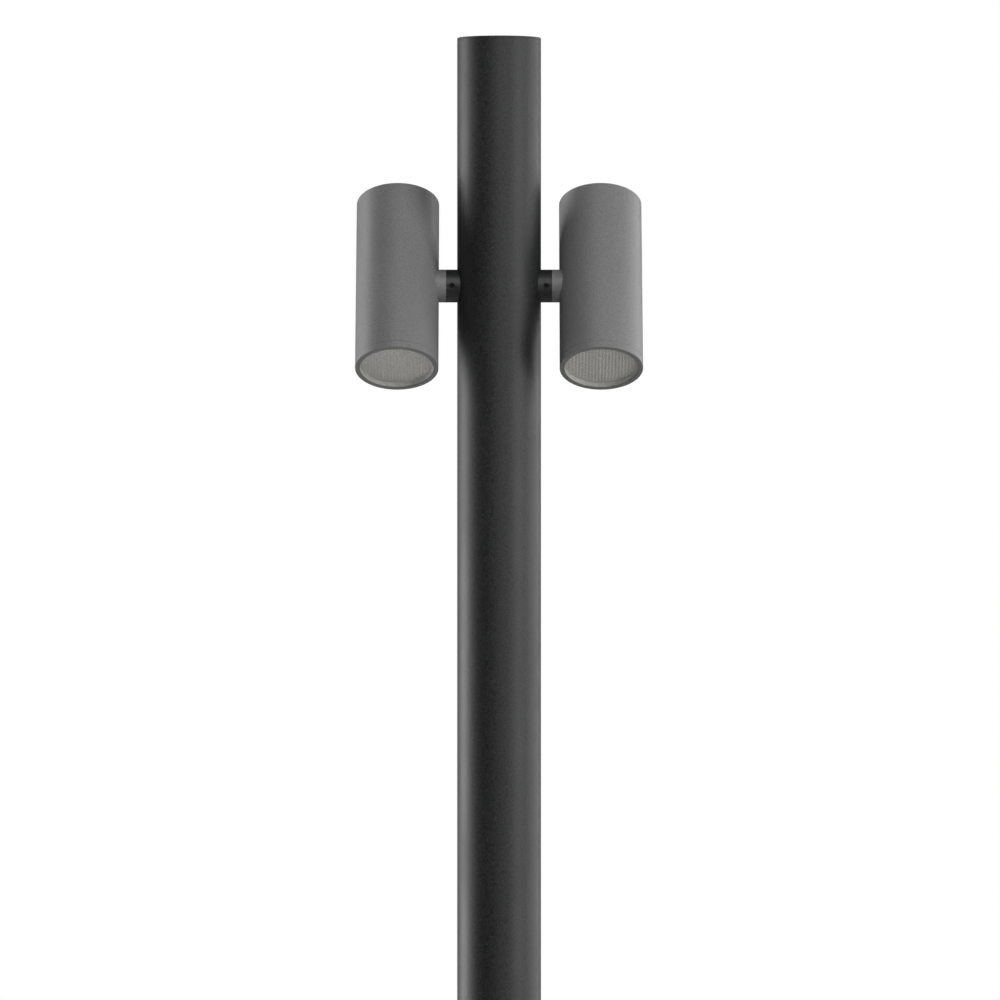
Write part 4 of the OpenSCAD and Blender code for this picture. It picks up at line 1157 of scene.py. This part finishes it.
class LUMINAIRE_OT_studio(bpy.types.Operator):
    """Pale floor, soft lights and the camera"""
    bl_idname = "luminaire.studio"
    bl_label = "Studio"

    def execute(self, context):
        studio = context.scene.luminaire_studio
        context.scene.view_settings.view_transform = "Standard"
        self.floor()
        self.surround(context.scene, studio.sky)
        aim = Vector((0, 0, arm_height()))
        for name, turn, height, size, power in (
                ("left strip", -111, -0.95, (1.0, 3.1), studio.left),
                ("upper panel", -115, 1.6, (0.8, 1.0), studio.upper),
                ("right strip", 97, -0.2, (0.6, 3.4), studio.right),
                ("rear strip", 130, -0.2, (0.6, 3.4), studio.rear),
                ("side panel", 54, -0.1, (1.1, 3.0), studio.side),
                ("front panel", 11, 0.4, (0.9, 2.8), studio.front),
                ("top panel", 0, 2.2, (1.6, 1.6), studio.top)):
            self.light(name, math.radians(turn), height, aim, size, power)
        self.camera(context.scene, studio, aim)
        return {"FINISHED"}

    def floor(self):
        """A broad pale disc under the column."""
        pick(None)
        bpy.ops.mesh.primitive_circle_add(vertices=96, radius=3, fill_type="NGON")
        floor = bpy.context.object
        floor.name = "floor"
        pale = Shader("pale floor", (0.7, 0.7, 0.7), 0.7)
        pale.shaded(pale.spread(pale.noise(6.0, 3.0), 0.99, 1.01))
        floor.data.materials.append(pale.material)

    def surround(self, scene, strength):
        """White behind the object, and a weaker even surround that lights it."""
        world = bpy.data.worlds.new("surround")
        scene.world = world
        world.use_nodes = True
        tree = world.node_tree
        lit = tree.nodes["Background"]
        lit.inputs["Color"].default_value = (1, 1, 1, 1)
        lit.inputs["Strength"].default_value = strength
        seen = tree.nodes.new("ShaderNodeBackground")
        seen.inputs["Color"].default_value = (1, 1, 1, 1)
        path = tree.nodes.new("ShaderNodeLightPath")
        mix = tree.nodes.new("ShaderNodeMixShader")
        tree.links.new(path.outputs["Is Camera Ray"], mix.inputs["Fac"])
        tree.links.new(lit.outputs["Background"], mix.inputs[1])
        tree.links.new(seen.outputs["Background"], mix.inputs[2])
        tree.links.new(mix.outputs["Shader"], tree.nodes["World Output"].inputs["Surface"])

    def light(self, name, turn, height, aim, size, power):
        """A soft rectangular light, turned from the front about the column. It faces the column
        at its own height, or the arms if it stands more than a metre above or below them."""
        place = aim + Vector((LIGHT_REACH * math.sin(turn), -LIGHT_REACH * math.cos(turn), height))
        data = bpy.data.lights.new(name, "AREA")
        data.shape = "RECTANGLE"
        data.size, data.size_y = size
        data.energy = power
        lamp = bpy.data.objects.new(name, data)
        bpy.context.scene.collection.objects.link(lamp)
        lamp.location = place
        target = aim if abs(height) > 1 else Vector((0, 0, place.z))
        lamp.rotation_euler = (target - place).to_track_quat("-Z", "Y").to_euler()

    def camera(self, scene, studio, aim):
        """A level camera in front of the column."""
        data = bpy.data.cameras.new("camera")
        data.lens = studio.lens
        data.sensor_width = 36
        data.clip_end = 200
        camera = bpy.data.objects.new("camera", data)
        scene.collection.objects.link(camera)
        camera.location = (studio.aside, -studio.distance, aim.z - studio.drop)
        camera.rotation_euler = (math.radians(90), 0, 0)
        scene.camera = camera


# ---------------------------------------------------------------- add-on

class LUMINAIRE_PT_panel(bpy.types.Panel):
    """Lists the settings and the steps of the luminaire"""
    bl_idname = "LUMINAIRE_PT_panel"
    bl_label = "Column Luminaire"
    bl_space_type = "VIEW_3D"
    bl_region_type = "UI"
    bl_category = "Luminaire"

    def draw(self, context):
        layout = self.layout
        for settings in (context.scene.luminaire_sizes, context.scene.luminaire_finish,
                         context.scene.luminaire_studio):
            box = layout.box()
            for name in settings.__annotations__:
                box.prop(settings, name)
        for step in STEPS:
            layout.operator(step.bl_idname)


STEPS = (
    LUMINAIRE_OT_column_tube, LUMINAIRE_OT_top_cap, LUMINAIRE_OT_foot,
    LUMINAIRE_OT_service_door, LUMINAIRE_OT_arm_collars, LUMINAIRE_OT_locking_screws,
    LUMINAIRE_OT_swivel_arms, LUMINAIRE_OT_housings, LUMINAIRE_OT_rear_caps,
    LUMINAIRE_OT_front_rings, LUMINAIRE_OT_front_glass, LUMINAIRE_OT_glass_gaskets,
    LUMINAIRE_OT_spread_lenses, LUMINAIRE_OT_node_finishes, LUMINAIRE_OT_studio,
)
CLASSES = (LuminaireSizes, LuminaireFinish, LuminaireStudio, LUMINAIRE_PT_panel) + STEPS


def register():
    for cls in CLASSES:
        bpy.utils.register_class(cls)
    bpy.types.Scene.luminaire_sizes = PointerProperty(type=LuminaireSizes)
    bpy.types.Scene.luminaire_finish = PointerProperty(type=LuminaireFinish)
    bpy.types.Scene.luminaire_studio = PointerProperty(type=LuminaireStudio)


def unregister():
    del bpy.types.Scene.luminaire_studio
    del bpy.types.Scene.luminaire_finish
    del bpy.types.Scene.luminaire_sizes
    for cls in reversed(CLASSES):
        bpy.utils.unregister_class(cls)


def main():
    """Builds everything in order."""
    register()
    for step in STEPS:
        group, name = step.bl_idname.split(".")
        getattr(getattr(bpy.ops, group), name)()


if __name__ == "__main__":
    main()
